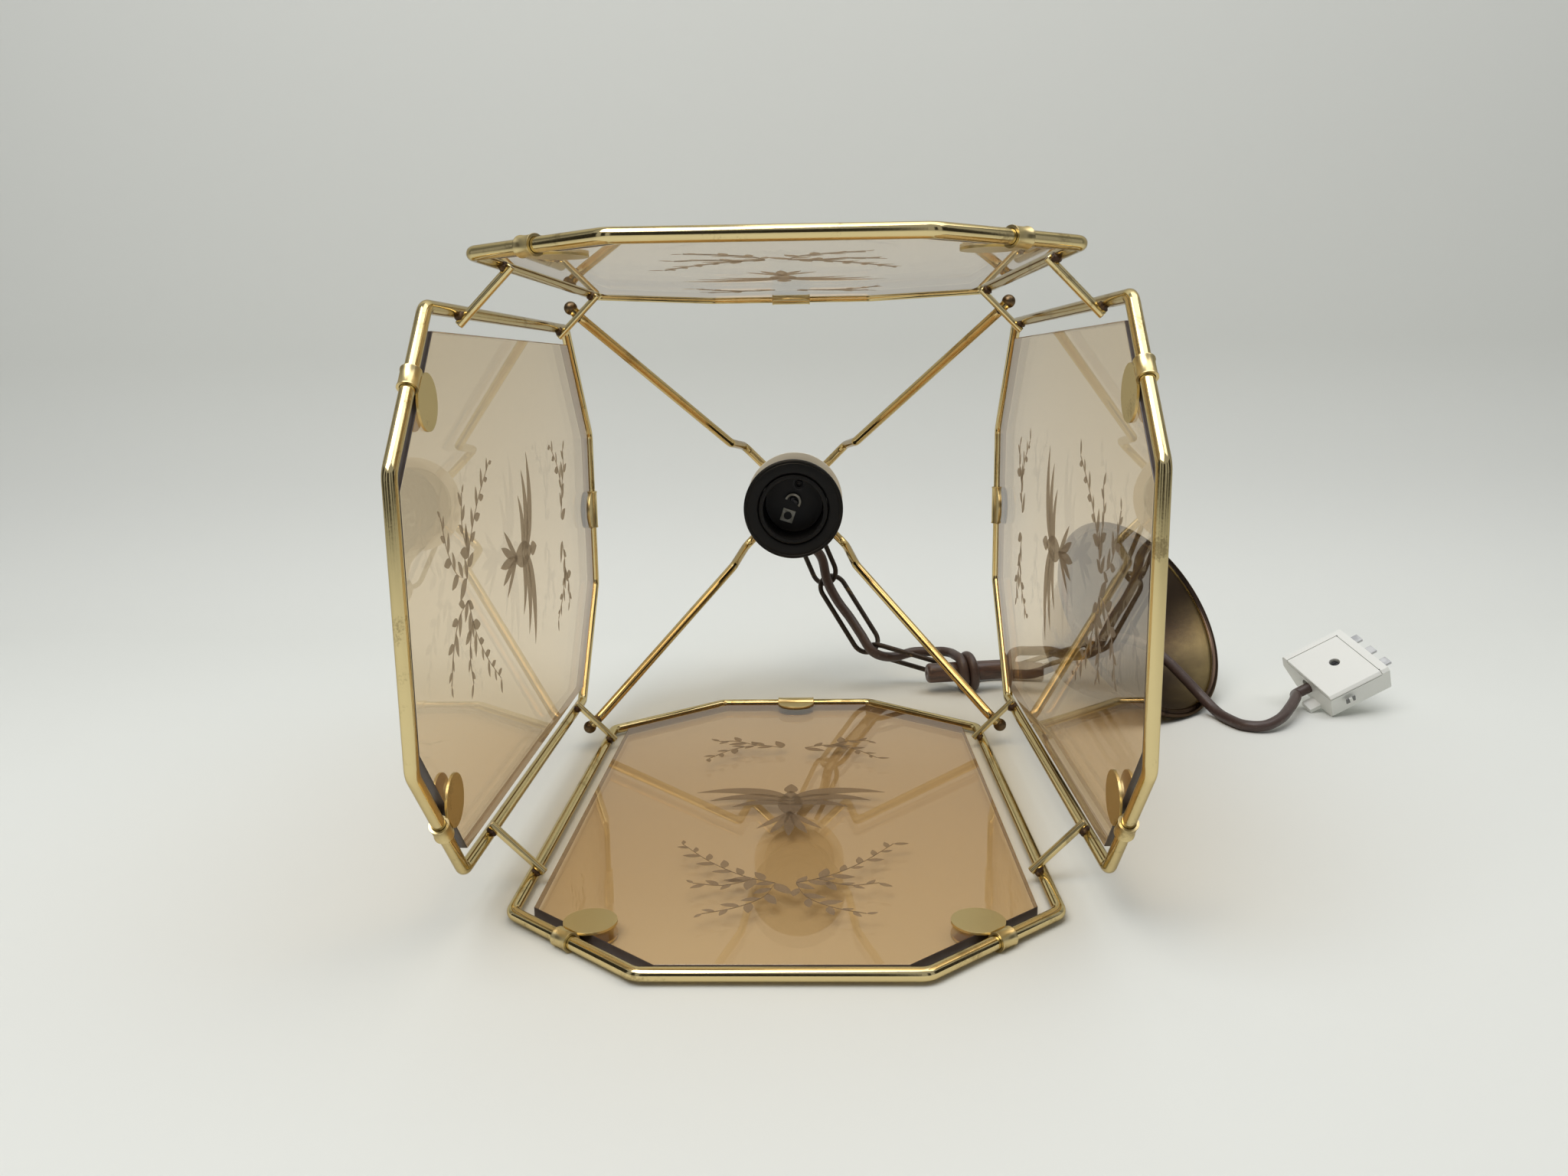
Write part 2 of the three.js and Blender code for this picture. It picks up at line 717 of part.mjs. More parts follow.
function wrapPoints() {
  const points = [];
  const steps = wrapTurns * wrapStepsPerTurn;
  for (let i = 0; i <= steps; i += 1) {
    const turns = (wrapTurns * i) / steps;
    const angle = 2 * Math.PI * turns;
    const point = keeperStart.clone().addScaledVector(keeperAxis, wrapPlace + wrapPitch * turns);
    point.z += wrapRadius * Math.cos(angle);
    points.push(point.addScaledVector(keeperFront, wrapRadius * Math.sin(angle)));
  }
  const lead = points[0].clone().sub(points[1]).normalize();
  const tail = points[steps].clone().sub(points[steps - 1]).normalize();
  lead.z = 0;
  tail.z = 0;
  points.unshift(points[0].clone().addScaledVector(lead.normalize(), cordDiameter));
  points.push(points[points.length - 1].clone().addScaledVector(tail.normalize(), cordDiameter));
  return points;
}

// Least distance between stretches of a path that lie over half a turn apart, less the cord
function leastGap(points) {
  let least = Infinity;
  const apart = wrapStepsPerTurn / 2;
  points.forEach((point, index) => {
    for (const other of points.slice(index + apart)) {
      least = Math.min(least, point.distanceTo(other) - cordDiameter);
    }
  });
  return least;
}

const wrapPath = wrapPoints();
console.log(`least gap of the cord's turns to themselves: ${leastGap(wrapPath).toFixed(2)} mm`);

// Lamp cord: out of the hub's outlet, down beside the chain, through its last link and over the keeper rod
function lampCordPoints() {
  const [lead, first] = wrapPath;
  const arriving = first.clone().sub(lead).normalize();
  return [
    vec(0, 381.65, -12),
    vec(0, 381.65, -18.5),
    vec(5.4, 381.8, -27.5),
    vec(15.8, 381.3, -38.9),
    vec(19.8, 378.6, -54.6),
    vec(26.2, 374.9, -66.7),
    vec(33.9, 370.8, -76.8),
    vec(40.6, 365.3, -86.4),
    vec(48, 360.6, -96.8),
    vec(60, 367.4, -102),
    vec(74.8, 371.3, -99.7),
    vec(86, 372, -99.8),
    vec(93, 370.6, -99.4),
    lead.clone().addScaledVector(arriving, -seatGap - cordRadius),
    lead.clone().addScaledVector(arriving, -seatGap),
  ];
}

// Outer wall of the canopy from the neck to the bead, in radius and distance behind the rim
const canopyBeadCentre = canopyRadius - canopyBeadRadius;
const canopyWallShares = [
  [0, 1],
  [0.1, 0.985],
  [0.2, 0.94],
  [0.36, 0.8],
  [0.52, 0.6],
  [0.68, 0.4],
  [0.85, 0.2],
  [0.95, 0.08],
];
const canopyWallPoints = canopyWallShares.map(([outShare, backShare]) => [
  canopyNeckRadius + (canopyBeadCentre - canopyNeckRadius) * outShare,
  canopyHeight * backShare,
]);

// Frame of the canopy: its axis leaves the mouth, and the lowest point of its wall is on the floor
const canopyAxis = vec(
  Math.cos(degrees(canopyTilt)) * Math.cos(degrees(canopyHeading)),
  Math.cos(degrees(canopyTilt)) * Math.sin(degrees(canopyHeading)),
  Math.sin(degrees(canopyTilt)),
);
const canopyTurn = new THREE.Quaternion().setFromUnitVectors(vec(0, 1, 0), canopyAxis);
const canopyReach = Math.max(...canopyWallPoints.map(([radius, behind]) => (
  radius * Math.cos(degrees(canopyTilt)) + behind * Math.sin(degrees(canopyTilt)))));
const canopyCentre = vec(canopyX, canopyY, floorZ + restGap + canopyReach);

function onCanopyAxis(behindRim) {
  return canopyCentre.clone().addScaledVector(canopyAxis, -behindRim);
}

function addCanopy(parent) {
  const canopy = new THREE.Group();
  canopy.position.copy(canopyCentre);
  canopy.quaternion.copy(canopyTurn);
  const bushHole = bushRadius + seatGap;
  const outer = [[bushHole, -canopyHeight]];
  const inner = [[bushHole, canopyWall - canopyHeight]];
  for (const [radius, behind] of canopyWallPoints) {
    outer.push([radius, -behind]);
    inner.push([radius - canopyWall, canopyWall - behind]);
  }
  const bead = [];
  const beadSteps = boreSegments / 2;
  for (let i = 0; i <= beadSteps; i += 1) {
    const angle = (Math.PI * 3 * i) / (beadSteps * 2) - Math.PI / 2;
    bead.push([canopyBeadCentre + canopyBeadRadius * Math.cos(angle), canopyBeadRadius * (Math.sin(angle) - 1)]);
  }
  const cup = turned([...outer, ...bead, ...inner.reverse()], roundSegments + boreSegments / 2);
  place(canopy, "canopy", cup, brass);

  const outside = -canopyHeight - seatGap;
  const flangeY = outside - bushFlangeThickness;
  const collarY = flangeY - bushCollarLength;
  const nutY = canopyWall - canopyHeight + seatGap;
  const nutBackY = nutY + bushNutThickness;
  const bush = turned([
    [cordBore, collarY],
    [bushCollarRadius, collarY],
    [bushCollarRadius, flangeY],
    [bushFlangeRadius, flangeY],
    [bushFlangeRadius, outside],
    [bushRadius, outside],
    [bushRadius, nutBackY],
    [cordBore, nutBackY],
  ], boreSegments);
  place(canopy, "canopy_bush", bush, clearNylon);
  const nutBore = bushHole / Math.cos(Math.PI / 6);
  const nut = tubeAlongY(nutBore + bushFlangeThickness * 2, nutBore, nutY, nutBackY, 6);
  place(canopy, "canopy_nut", nut, clearNylon);
  parent.add(canopy);
}

// Frame of the plug: X runs out with the blades, Z out of its face, and its lowest corner rests on the floor
const plugTurn = new THREE.Euler(degrees(plugRoll), degrees(plugPitch), degrees(plugYaw), "ZYX");

function plugBodyOutline() {
  const half = plugHeight / 2;
  return [
    [-half + plugCornerRadius, -plugThickness],
    [half - plugSlope, -plugThickness],
    [half, -plugSlopeEdge],
    [half, -plugCornerRadius],
    [half - plugCornerRadius, 0],
    [-half + plugCornerRadius, 0],
    [-half, -plugCornerRadius],
    [-half, plugCornerRadius - plugThickness],
  ];
}

function plugHousingSolid() {
  const shape = new THREE.Shape(plugBodyOutline().map(([across, up]) => new THREE.Vector2(across, up)));
  const body = new THREE.ExtrudeGeometry(shape, { depth: plugWidth, bevelEnabled: false });
  body.rotateY(Math.PI / 2).rotateX(Math.PI / 2);
  return body.translate(-plugWidth / 2, 0, 0);
}

// The lid lies in a rabbet that is open to the cord side and to one flank
function plugLidBox(gap) {
  const low = vec(-plugWidth / 2 - cutOverrun, -plugHeight / 2 - cutOverrun, -plugLidThickness - gap);
  const high = vec(plugWidth / 2 - plugLidInset + gap, plugHeight / 2 - plugLidInset + gap, cutOverrun);
  return boxBetween(low, high);
}

function plugBladePlaces() {
  return [-1, 0, 1].map((step) => step * plugBladeSpacing);
}

function plugBlade(across, gap) {
  const halfWidth = plugBladeWidth / 2 + gap;
  const halfThickness = plugBladeThickness / 2 + gap;
  const low = vec(plugWidth / 2 - plugBladeRoot - gap, across - halfWidth, -plugBladeDepth - halfThickness);
  const high = vec(plugWidth / 2 + plugBladeLength, across + halfWidth, -plugBladeDepth + halfThickness);
  return boxBetween(low, high);
}

function addPlug(parent) {
  const plug = new THREE.Group();
  plug.rotation.copy(plugTurn);
  const body = plugHousingSolid();
  const lid = plugLidBox(0);
  const screwHole = cylinderAlongZ(plugScrewRadius + seatGap, -plugScrewDepth - seatGap, cutOverrun);
  const entry = cylinderAlongX(cordBore, -plugWidth / 2 - cutOverrun, plugEntryBore - plugWidth / 2);
  entry.translate(0, plugEntryOffset, -plugEntryDepth);
  const sockets = plugBladePlaces().map((across) => plugBlade(across, seatGap));
  const tail = boxBetween(
    vec(-plugTailLength - plugWidth / 2, plugTailOffset - plugTailWidth / 2, -plugThickness),
    vec(0, plugTailOffset + plugTailWidth / 2, plugTailThickness - plugThickness),
  );
  const housing = combine([body, tail], [plugLidBox(seatGap), screwHole, entry, ...sockets]);
  place(plug, "plug_housing", housing, whitePlastic);
  const cover = solidOf(body).intersect(solidOf(lid)).subtract(solidOf(screwHole));
  place(plug, "plug_lid", geometryOf(cover), whitePlastic);
  const screw = cylinderAlongZ(plugScrewRadius, -plugScrewDepth, -plugScrewRecess);
  place(plug, "plug_screw", screw, steel);
  plugBladePlaces().forEach((across, index) => {
    place(plug, `plug_blade_${index + 1}`, plugBlade(across, 0), steel);
  });
  parent.add(plug);
  plug.updateMatrixWorld(true);
  const lowest = new THREE.Box3().setFromObject(plug, true).min.z;
  plug.position.set(plugX, plugY, floorZ + restGap - lowest);
  plug.updateMatrixWorld(true);
  return plug;
}

function plugPoint(plug, x, y, z) {
  return plug.localToWorld(vec(x, y, z));
}

// Plug cord: from under the keeper rod, through the canopy, over its rim and into the plug
function plugCordPoints(plug) {
  const tail = wrapPath[wrapPath.length - 1];
  const leaving = tail.clone().sub(wrapPath[wrapPath.length - 2]).normalize();
  const entryX = -plugWidth / 2;
  return [
    tail.clone().addScaledVector(leaving, seatGap),
    tail.clone().addScaledVector(leaving, seatGap + cordRadius),
    vec(110.6, 372, -118.2),
    vec(116.5, 378.5, -118),
    vec(127, 382, -117.8),
    vec(139, 381.5, -117.5),
    vec(150.5, 378.5, -116.8),
    onCanopyAxis(79),
    onCanopyAxis(70),
    onCanopyAxis(58),
    onCanopyAxis(46),
    vec(191, 338.5, -84),
    vec(204, 328.5, -84),
    vec(217, 319.5, -91.5),
    vec(227.5, 312, -102),
    vec(235.5, 305.3, -111),
    vec(241.5, 295, -117.5),
    vec(244.5, 282, -118.4),
    vec(249, 271.5, -118.4),
    vec(258, 268, -117.8),
    vec(268.5, 273, -115.5),
    vec(279, 285.5, -112.5),
    vec(287.5, 299, -110.5),
    plugPoint(plug, entryX - cordDiameter, plugEntryOffset, -plugEntryDepth),
    plugPoint(plug, entryX - cordRadius / 2, plugEntryOffset, -plugEntryDepth),
    plugPoint(plug, entryX + cordRadius, plugEntryOffset, -plugEntryDepth),
  ];
}

function cordAlong(points, steps) {
  const path = new THREE.CatmullRomCurve3(points, false, "centripetal");
  return new THREE.ExtrudeGeometry(circleShape(cordRadius, cordSides), { steps, extrudePath: path });
}

function addCord(parent, plug) {
  const lampSteps = 26;
  const plugSteps = 52;
  place(parent, "lamp_cord", cordAlong(lampCordPoints(), lampSteps), cordSheath);
  place(parent, "cord_wrap", wireAlong(wrapPath, cordRadius, wrapSides), cordSheath);
  place(parent, "plug_cord", cordAlong(plugCordPoints(plug), plugSteps), cordSheath);
  const rim = keeperRadius - keeperEndRadius;
  const corner = keeperEndRadius * (1 - Math.SQRT1_2);
  const keeper = new THREE.LatheGeometry([
    new THREE.Vector2(0, 0),
    new THREE.Vector2(rim, 0),
    new THREE.Vector2(keeperRadius - corner, corner),
    new THREE.Vector2(keeperRadius, keeperEndRadius),
    new THREE.Vector2(keeperRadius, keeperLength - keeperEndRadius),
    new THREE.Vector2(keeperRadius - corner, keeperLength - corner),
    new THREE.Vector2(rim, keeperLength),
    new THREE.Vector2(0, keeperLength),
  ], boreSegments);
  const mesh = place(parent, "cord_keeper", keeper, brownWood);
  mesh.position.copy(keeperStart);
  mesh.quaternion.setFromUnitVectors(vec(0, 1, 0), keeperAxis);
}

// Nodes that are cord, or lie on it, and stay out of the origin's box
const cordNodeNames = /^(lamp_cord|cord_wrap|plug_cord|cord_keeper|plug_.*)$/;

// The origin is under the middle of all that isn't cord, on the surface that it lies on
function shiftToOrigin(model) {
  model.updateMatrixWorld(true);
  const box = new THREE.Box3();
  model.traverse((item) => {
    if (item.isMesh && !cordNodeNames.test(item.name)) {
      box.expandByObject(item, true);
    }
  });
  const centre = box.getCenter(new THREE.Vector3());
  model.position.set(-centre.x, -centre.y, -box.min.z);
  model.updateMatrixWorld(true);
}

const group = new THREE.Group();
const panelNames = ["top", "right", "bottom", "left"];
const cornerNames = ["top_right", "bottom_right", "bottom_left", "top_left"];
panelNames.forEach((name, index) => addPanel(group, name, index));
cornerNames.forEach((name, index) => {
  addStrut(group, `mouth_${name}`, index, mouthStrutInset);
  addStrut(group, `crown_${name}`, index, crownStrutY);
  addArm(group, name, index);
});
addGallery(group);
addLampholder(group);
addChain(group);
addCanopy(group);
addCord(group, addPlug(group));
shiftToOrigin(group);

export default group;
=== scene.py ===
"""A square glass lantern laid down on its lower panel, with its chain, canopy, cord and plug.

Lengths are in metres. Most places are given from the lantern's own axis: X to the right, Y from the
plane of its mouth towards its hanging loop, and Z up. row() moves them into the frame of the part.
"""
import json
import math

import bmesh
import bpy
from bpy.props import FloatProperty, FloatVectorProperty, IntProperty, PointerProperty
from mathutils import Matrix, Vector

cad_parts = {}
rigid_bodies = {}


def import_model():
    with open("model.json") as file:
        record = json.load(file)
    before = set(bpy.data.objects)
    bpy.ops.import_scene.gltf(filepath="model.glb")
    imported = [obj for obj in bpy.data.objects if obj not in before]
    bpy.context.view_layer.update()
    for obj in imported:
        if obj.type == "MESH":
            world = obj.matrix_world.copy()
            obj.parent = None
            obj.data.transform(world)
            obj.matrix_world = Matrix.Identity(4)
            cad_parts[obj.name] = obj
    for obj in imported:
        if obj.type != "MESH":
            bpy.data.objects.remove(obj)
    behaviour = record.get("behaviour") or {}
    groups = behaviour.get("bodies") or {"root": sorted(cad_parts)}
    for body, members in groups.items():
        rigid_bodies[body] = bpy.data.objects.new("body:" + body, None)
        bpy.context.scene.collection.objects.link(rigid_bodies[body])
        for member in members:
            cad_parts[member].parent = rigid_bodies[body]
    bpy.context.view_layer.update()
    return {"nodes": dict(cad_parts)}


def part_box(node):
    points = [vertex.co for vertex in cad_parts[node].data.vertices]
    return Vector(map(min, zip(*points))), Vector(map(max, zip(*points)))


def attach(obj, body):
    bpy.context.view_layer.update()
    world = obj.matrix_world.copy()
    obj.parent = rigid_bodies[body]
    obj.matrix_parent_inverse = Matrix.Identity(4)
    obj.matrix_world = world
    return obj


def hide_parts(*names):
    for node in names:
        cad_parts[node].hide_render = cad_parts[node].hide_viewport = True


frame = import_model()

bl_info = {
    "name": "Square glass lantern",
    "version": (1, 0, 0),
    "blender": (4, 5, 0),
    "location": "3D View > Sidebar > Lantern",
    "description": "Builds a laid-down lantern with its chain, canopy, cord and plug, and its studio",
    "category": "Add Mesh",
}

PANELS = ("top", "right", "bottom", "left")
CORNERS = ("top_right", "bottom_right", "bottom_left", "top_left")
# From the plane of the lantern's mouth to the mouth of the lampholder
HOLDER_MOUTH_Y = 0.3065
SEAT_GAP = 0.0003
# Corners nearer than this are one, in a copied solid and in a rod
MERGE_SOLID = 0.000005
MERGE_ROD = 0.000002
# A point of an outline that is nearer to the axis than this is on it
ON_AXIS = 0.0000001

shell_low, shell_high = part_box("lampholder_shell")
AXIS_ORIGIN = Vector((
    (shell_low.x + shell_high.x) / 2,
    shell_low.y - HOLDER_MOUTH_Y,
    (shell_low.z + shell_high.z) / 2,
))
FROM_AXIS = Matrix.Translation(AXIS_ORIGIN)


def row(x, y, z):
    """A place given from the lantern's axis, in the frame of the part."""
    return AXIS_ORIGIN + Vector((x, y, z))


def quarter(index, extra=0.0):
    """Turns a place on the top panel, or on its corner, to panel or corner number index."""
    return FROM_AXIS @ Matrix.Rotation(index * math.pi / 2 + extra, 4, "Y")


# Sizes and colours


def length(name, description, default):
    return FloatProperty(name=name, description=description, default=default, min=0.0, precision=5,
                         subtype="DISTANCE", unit="LENGTH")


def colour(name, description, default):
    return FloatVectorProperty(name=name, description=description, default=default, min=0.0, max=1.0,
                               size=3, subtype="COLOR")


class PanelSizes(bpy.types.PropertyGroup):
    """Sizes of the four panels and the struts between them"""
    rod: length("Rod diameter", "Brass rod of the frames", 0.005)
    plane: length("Panel distance", "From the lantern's axis to the middle of a panel", 0.118)
    length: length("Panel length", "From the mouth rod to the crown rod", 0.319)
    side: length("Side rods", "Half the distance between a panel's side rods", 0.101)
    mouth: length("Mouth rod", "Half the length of the mouth rod between its bends", 0.0487)
    mouth_chamfer: length("Mouth chamfer", "Length of the mouth corners along the panel", 0.0448)
    crown: length("Crown rod", "Half the length of the crown rod between its bends", 0.0436)
    crown_chamfer: length("Crown chamfer", "Length of the crown corners along the panel", 0.0506)
    bend: length("Bend radius", "Radius of the rod's bends", 0.007)
    glass: length("Glass thickness", "Thickness of the panes", 0.004)
    glass_side: length("Glass side inset", "From the side rods' line to the pane's edge", 0.008)
    glass_corner: length("Glass corner inset", "From the other rods' line to the pane's edge", 0.006)
    lean_out: length("Lean at the crown", "How far the pane lies outside the rods' plane there", 0.0012)
    strut: length("Strut diameter", "Rod of the short struts between panels", 0.0033)
    strut_over: length("Strut overhang", "How far a strut passes the rods it crosses", 0.0025)
    strut_mouth: length("Mouth struts", "From the mouth to the first struts", 0.077)
    strut_crown: length("Crown struts", "From the crown rod to the second struts", 0.073)
    solder: length("Solder", "Diameter of the lumps of solder", 0.0046)


class ClipSizes(bpy.types.PropertyGroup):
    """Sizes of the clips that hold the panes"""
    wall: length("Sleeve wall", "Wall of the sleeve round the rod", 0.0008)
    plate: length("Plate thickness", "Thickness of the plates on the glass", 0.0009)
    mouth_length: length("Mouth clip length", "Length of the sleeve along the rod", 0.0076)
    mouth_disc: length("Disc diameter", "Round plate of the mouth clips", 0.0195)
    mouth_reach: length("Disc reach", "From the rod to the middle of the disc", 0.0115)
    crown_length: length("Crown clip length", "Length of the crown clip along the rod", 0.021)
    crown_reach: length("Crown clip reach", "From the rod to the middle of the half disc", 0.004)
    edge: length("Clip edges", "Rounding of the clips' edges", 0.00018)


class CrownSizes(bpy.types.PropertyGroup):
    """Sizes of the arms, the cap, the hub and the hanging loop"""
    arm: length("Arm diameter", "Rod of the bent arms", 0.005)
    arm_bend: length("Arm bend", "Radius of an arm's bends", 0.007)
    ball: length("Ball diameter", "Ball at the end of an arm", 0.0068)
    ball_over: length("Ball overhang", "From the strut to the ball", 0.0062)
    elbow: length("Elbow", "From the axis to an arm's elbow", 0.045)
    knee: length("Knee", "From the axis to an arm's knee", 0.052)
    knee_ahead: length("Knee ahead", "From the hub forward to the knee", 0.049)
    cap_beyond: length("Cap rim", "From the crown rods to the cap's rim", 0.038)
    cap_rim: length("Cap rim radius", "Outer radius of the cap's rim", 0.0293)
    cap_floor: length("Cap floor radius", "Radius of the cap's flat back", 0.022)
    cap_depth: length("Cap depth", "From the cap's rim to its back", 0.018)
    cap_wall: length("Cap wall", "Sheet of the cap", 0.0012)
    bore: length("Bore", "Radius of the bore through the cover, the cap and the hub's front", 0.0053)
    hub: length("Hub radius", "Radius of the hub behind the cap", 0.011)
    hub_length: length("Hub length", "Length of the hub", 0.0103)
    hub_recess: length("Hub recess", "Depth of the bore in the hub", 0.0045)
    outlet: length("Outlet radius", "Outer radius of the cord outlet", 0.005)
    outlet_bore: length("Outlet bore", "Inner radius of the cord outlet", 0.0033)
    outlet_reach: length("Outlet reach", "From the axis to the outlet's mouth", 0.015)
    loop: length("Loop radius", "Inner radius of the hanging loop", 0.009)
    loop_wire: length("Loop wire", "Wire of the hanging loop", 0.0032)
    foot: length("Foot radius", "Radius of the foot under the loop", 0.005)
    foot_height: length("Foot height", "Height of the foot under the loop", 0.0025)


class LampholderSizes(bpy.types.PropertyGroup):
    """Sizes of the lampholder"""
    bore: length("Bore radius", "Inner radius of the shell", 0.0173)
    wall: length("Shell wall", "Wall of the shell", 0.0024)
    length: length("Length", "From the shell's mouth to the back of the cover", 0.0595)
    overlap: length("Overlap", "How far the shell reaches into the cover", 0.008)
    cover: length("Cover length", "Length of the cover", 0.028)
    cover_wall: length("Cover wall", "Wall of the cover", 0.002)
    cover_back: length("Cover back", "Radius of the cover's flat back", 0.012)
    cover_slope: length("Cover slope", "Length of the slope at the cover's back", 0.005)
    groove_start: length("First groove", "From the cover's front to the first groove", 0.004)
    groove_pitch: length("Groove pitch", "Distance between the grooves round the cover", 0.0032)
    groove_width: length("Groove width", "Width of a groove round the cover", 0.002)
    groove_depth: length("Groove depth", "Depth of a groove round the cover", 0.0005)
    ring: length("Ring radius", "Outer radius of the shade ring", 0.0285)
    ring_thickness: length("Ring thickness", "Thickness of the shade ring's flange", 0.0026)
    ring_collar: length("Ring collar", "Length of the shade ring's collar", 0.014)
    ring_wall: length("Collar wall", "Wall of the shade ring's collar", 0.003)
    ring_setback: length("Ring setback", "From the shell's mouth to the ring", 0.0015)
    ring_line: length("Ring line", "From the ring's edge to the line round its face", 0.002)
    thread_pitch: length("Thread pitch", "Distance between the turns of the lamp's thread", 0.0036)
    thread_depth: length("Thread depth", "Depth of the lamp's thread", 0.0009)
    thread_start: length("Thread start", "From the shell's mouth to the thread", 0.003)
    thread_end: length("Thread end", "From the thread's last turn to the insert", 0.004)
    insert: length("Insert depth", "From the shell's mouth to the insert", 0.0315)
    boss: length("Boss radius", "Outer radius of the ring round the terminal screw", 0.0037)
    boss_bore: length("Boss bore", "Inner radius of the ring round the terminal screw", 0.0029)
    boss_height: length("Boss height", "Height of the ring round the terminal screw", 0.0007)


class ContactSizes(bpy.types.PropertyGroup):
    """Sizes of the lampholder's contacts and its terminal screw"""
    lift: length("Lift", "From the insert to the head of the centre contact", 0.0015)
    stem: length("Stem radius", "Stem of the centre contact", 0.0014)
    stem_length: length("Stem length", "Length of the centre contact's stem", 0.006)
    spring: length("Spring radius", "Outer radius of the open spring", 0.005)
    spring_bore: length("Spring bore", "Inner radius of the open spring", 0.0035)
    drop: length("Spring drop", "From the stem down to the middle of the spring", 0.0011)
    strip: length("Strip", "Thickness of the contacts' sheet", 0.0008)
    tab: length("Side tab", "Half the width of the side contact", 0.0039)
    tab_hole: length("Tab hole", "Radius of the hole in the side contact", 0.0023)
    screw: length("Screw radius", "Radius of the terminal screw's head", 0.0023)
    screw_head: length("Screw head", "Height of the terminal screw's head", 0.0014)
    screw_recess: length("Screw recess", "Radius of the recess in the terminal screw", 0.0011)
    screw_stem: length("Screw stem", "Radius of the terminal screw's stem", 0.0012)
    screw_length: length("Screw length", "Length of the terminal screw's stem", 0.005)
    edge: length("Contact edges", "Rounding of the contacts' edges", 0.00015)


class ChainSizes(bpy.types.PropertyGroup):
    """Sizes of the chain's links"""
    length: length("Link length", "Outer length of a link", 0.0595)
    width: length("Link width", "Outer width of a link", 0.021)
    wire: length("Link wire", "Wire of a link", 0.0033)
    slack: length("Slack", "Play between two links", 0.0009)


class CanopySizes(bpy.types.PropertyGroup):
    """Sizes of the canopy"""
    radius: length("Rim radius", "Outer radius of the rim", 0.0636)
    height: length("Height", "From the rim to the neck", 0.06)
    wall: length("Wall", "Sheet of the canopy", 0.001)
    bead: length("Bead radius", "Rolled bead at the rim", 0.0026)
    neck: length("Neck radius", "Radius of the flat top", 0.019)
    bush: length("Bush radius", "Bush in the top", 0.006)
    edge: length("Bush edges", "Rounding of the bush and its nut", 0.0004)


class CordSizes(bpy.types.PropertyGroup):
    """Sizes of the cord and the rod that it is wound on"""
    diameter: length("Cord diameter", "Outer diameter of the cord", 0.006)
    keeper: length("Keeper radius", "Radius of the keeper rod", 0.00625)
    keeper_length: length("Keeper length", "Length of the keeper rod", 0.051)
    keeper_edge: length("Keeper edges", "Rounding of the keeper's ends", 0.003)
    pitch: length("Wrap pitch", "Distance between turns on the keeper", 0.0065)
    steps: IntProperty(name="Steps per turn", description="Points of the path in each turn",
                       default=24, min=8)


class PlugSizes(bpy.types.PropertyGroup):
    """Sizes of the plug"""
    width: length("Width", "From the cord's side to the blades' side", 0.038)
    blade_gap: length("Blade gap", "Distance between the blades", 0.0122)
    blade_drop: length("Blade drop", "From the plug's face to the middle of the blades", 0.005)
    collar: length("Collar", "How far the collars stand out round the blades", 0.002)
    collar_width: length("Collar width", "Width of a collar", 0.0062)
    collar_height: length("Collar height", "Height of a collar", 0.0023)
    screw: length("Screw radius", "Radius of the lid screw", 0.0026)
    screw_slot: length("Screw slot", "Depth of the slot in the lid screw", 0.0003)
    screw_length: length("Screw length", "Length of the lid screw", 0.003)
    window: length("Window width", "Width of the latch window in the flank", 0.0056)
    window_height: length("Window height", "Height of the latch window", 0.0034)
    window_depth: length("Window depth", "Depth of the latch window", 0.0006)
    vent: length("Vent radius", "Radius of the vents in the rim of the face", 0.00042)
    vent_depth: length("Vent depth", "Depth of the vents", 0.001)


class Finishes(bpy.types.PropertyGroup):
    """Colours of the lantern"""
    brass: colour("Brass", "Rods, clips, struts and arms", (0.74, 0.6, 0.31))
    arm_brass: colour("Arm brass", "Deeper brass of the arms", (0.66, 0.49, 0.22))
    dull_brass: colour("Dull brass", "Worn lacquer on the rods", (0.3, 0.22, 0.1))
    # Painted pale: the cap's brass painted as its reflection of the pale backdrop
    pale_brass: colour("Pale cap", "Cap over the lampholder", (0.86, 0.85, 0.78))
    canopy_brass: colour("Canopy brass", "Canopy", (0.45, 0.33, 0.12))
    # Gold of the canopy's inside where its painted light falls; elsewhere the inside is painted a dark
    # shade
    canopy_inside: colour("Canopy inside", "Raw inside of the canopy", (0.46, 0.35, 0.14))
    solder: colour("Solder", "Brown blobs at the joints", (0.05, 0.026, 0.014))
    bronze: colour("Bronze", "Chain", (0.055, 0.042, 0.034))
    glass: colour("Glass tint", "What each face of the glass lets through", (0.93, 0.845, 0.712))
    ground_edge: colour("Ground edge", "Edges of the panes at the mouth", (0.045, 0.028, 0.027))
    # Amber of the panes' other edges, darkened as a painted shadow beside the rods
    amber_edge: colour("Amber edge", "Other edges of the panes", (0.13, 0.08, 0.045))
    etching: colour("Etching", "Frosted decor in the glass", (0.22, 0.18, 0.14))
    bakelite: colour("Lampholder", "Black moulded lampholder", (0.0092, 0.0104, 0.0135))
    porcelain: colour("Insert", "Insert in the lampholder", (0.066, 0.069, 0.078))
    cord: colour("Cord", "Sheath of the cord", (0.075, 0.042, 0.032))
    keeper: colour("Keeper", "Rod that the cord is wound on", (0.05, 0.026, 0.02))
    plug: colour("Plug", "Plug and its lid", (0.82, 0.82, 0.77))
    steel: colour("Steel", "Blades, screws and nipple", (0.5, 0.5, 0.5))
    nylon: colour("Nylon", "Bush in the canopy", (0.6, 0.57, 0.48))
    floor: colour("Floor", "Floor and backdrop", (0.78, 0.79, 0.75))


SETTINGS = {
    "panels": PanelSizes,
    "clips": ClipSizes,
    "crown": CrownSizes,
    "lampholder": LampholderSizes,
    "contacts": ContactSizes,
    "chain": ChainSizes,
    "canopy": CanopySizes,
    "cord": CordSizes,
    "plug": PlugSizes,
    "finish": Finishes,
}


def sizes(context, name):
    return getattr(context.scene, "lantern_" + name)


# Node trees


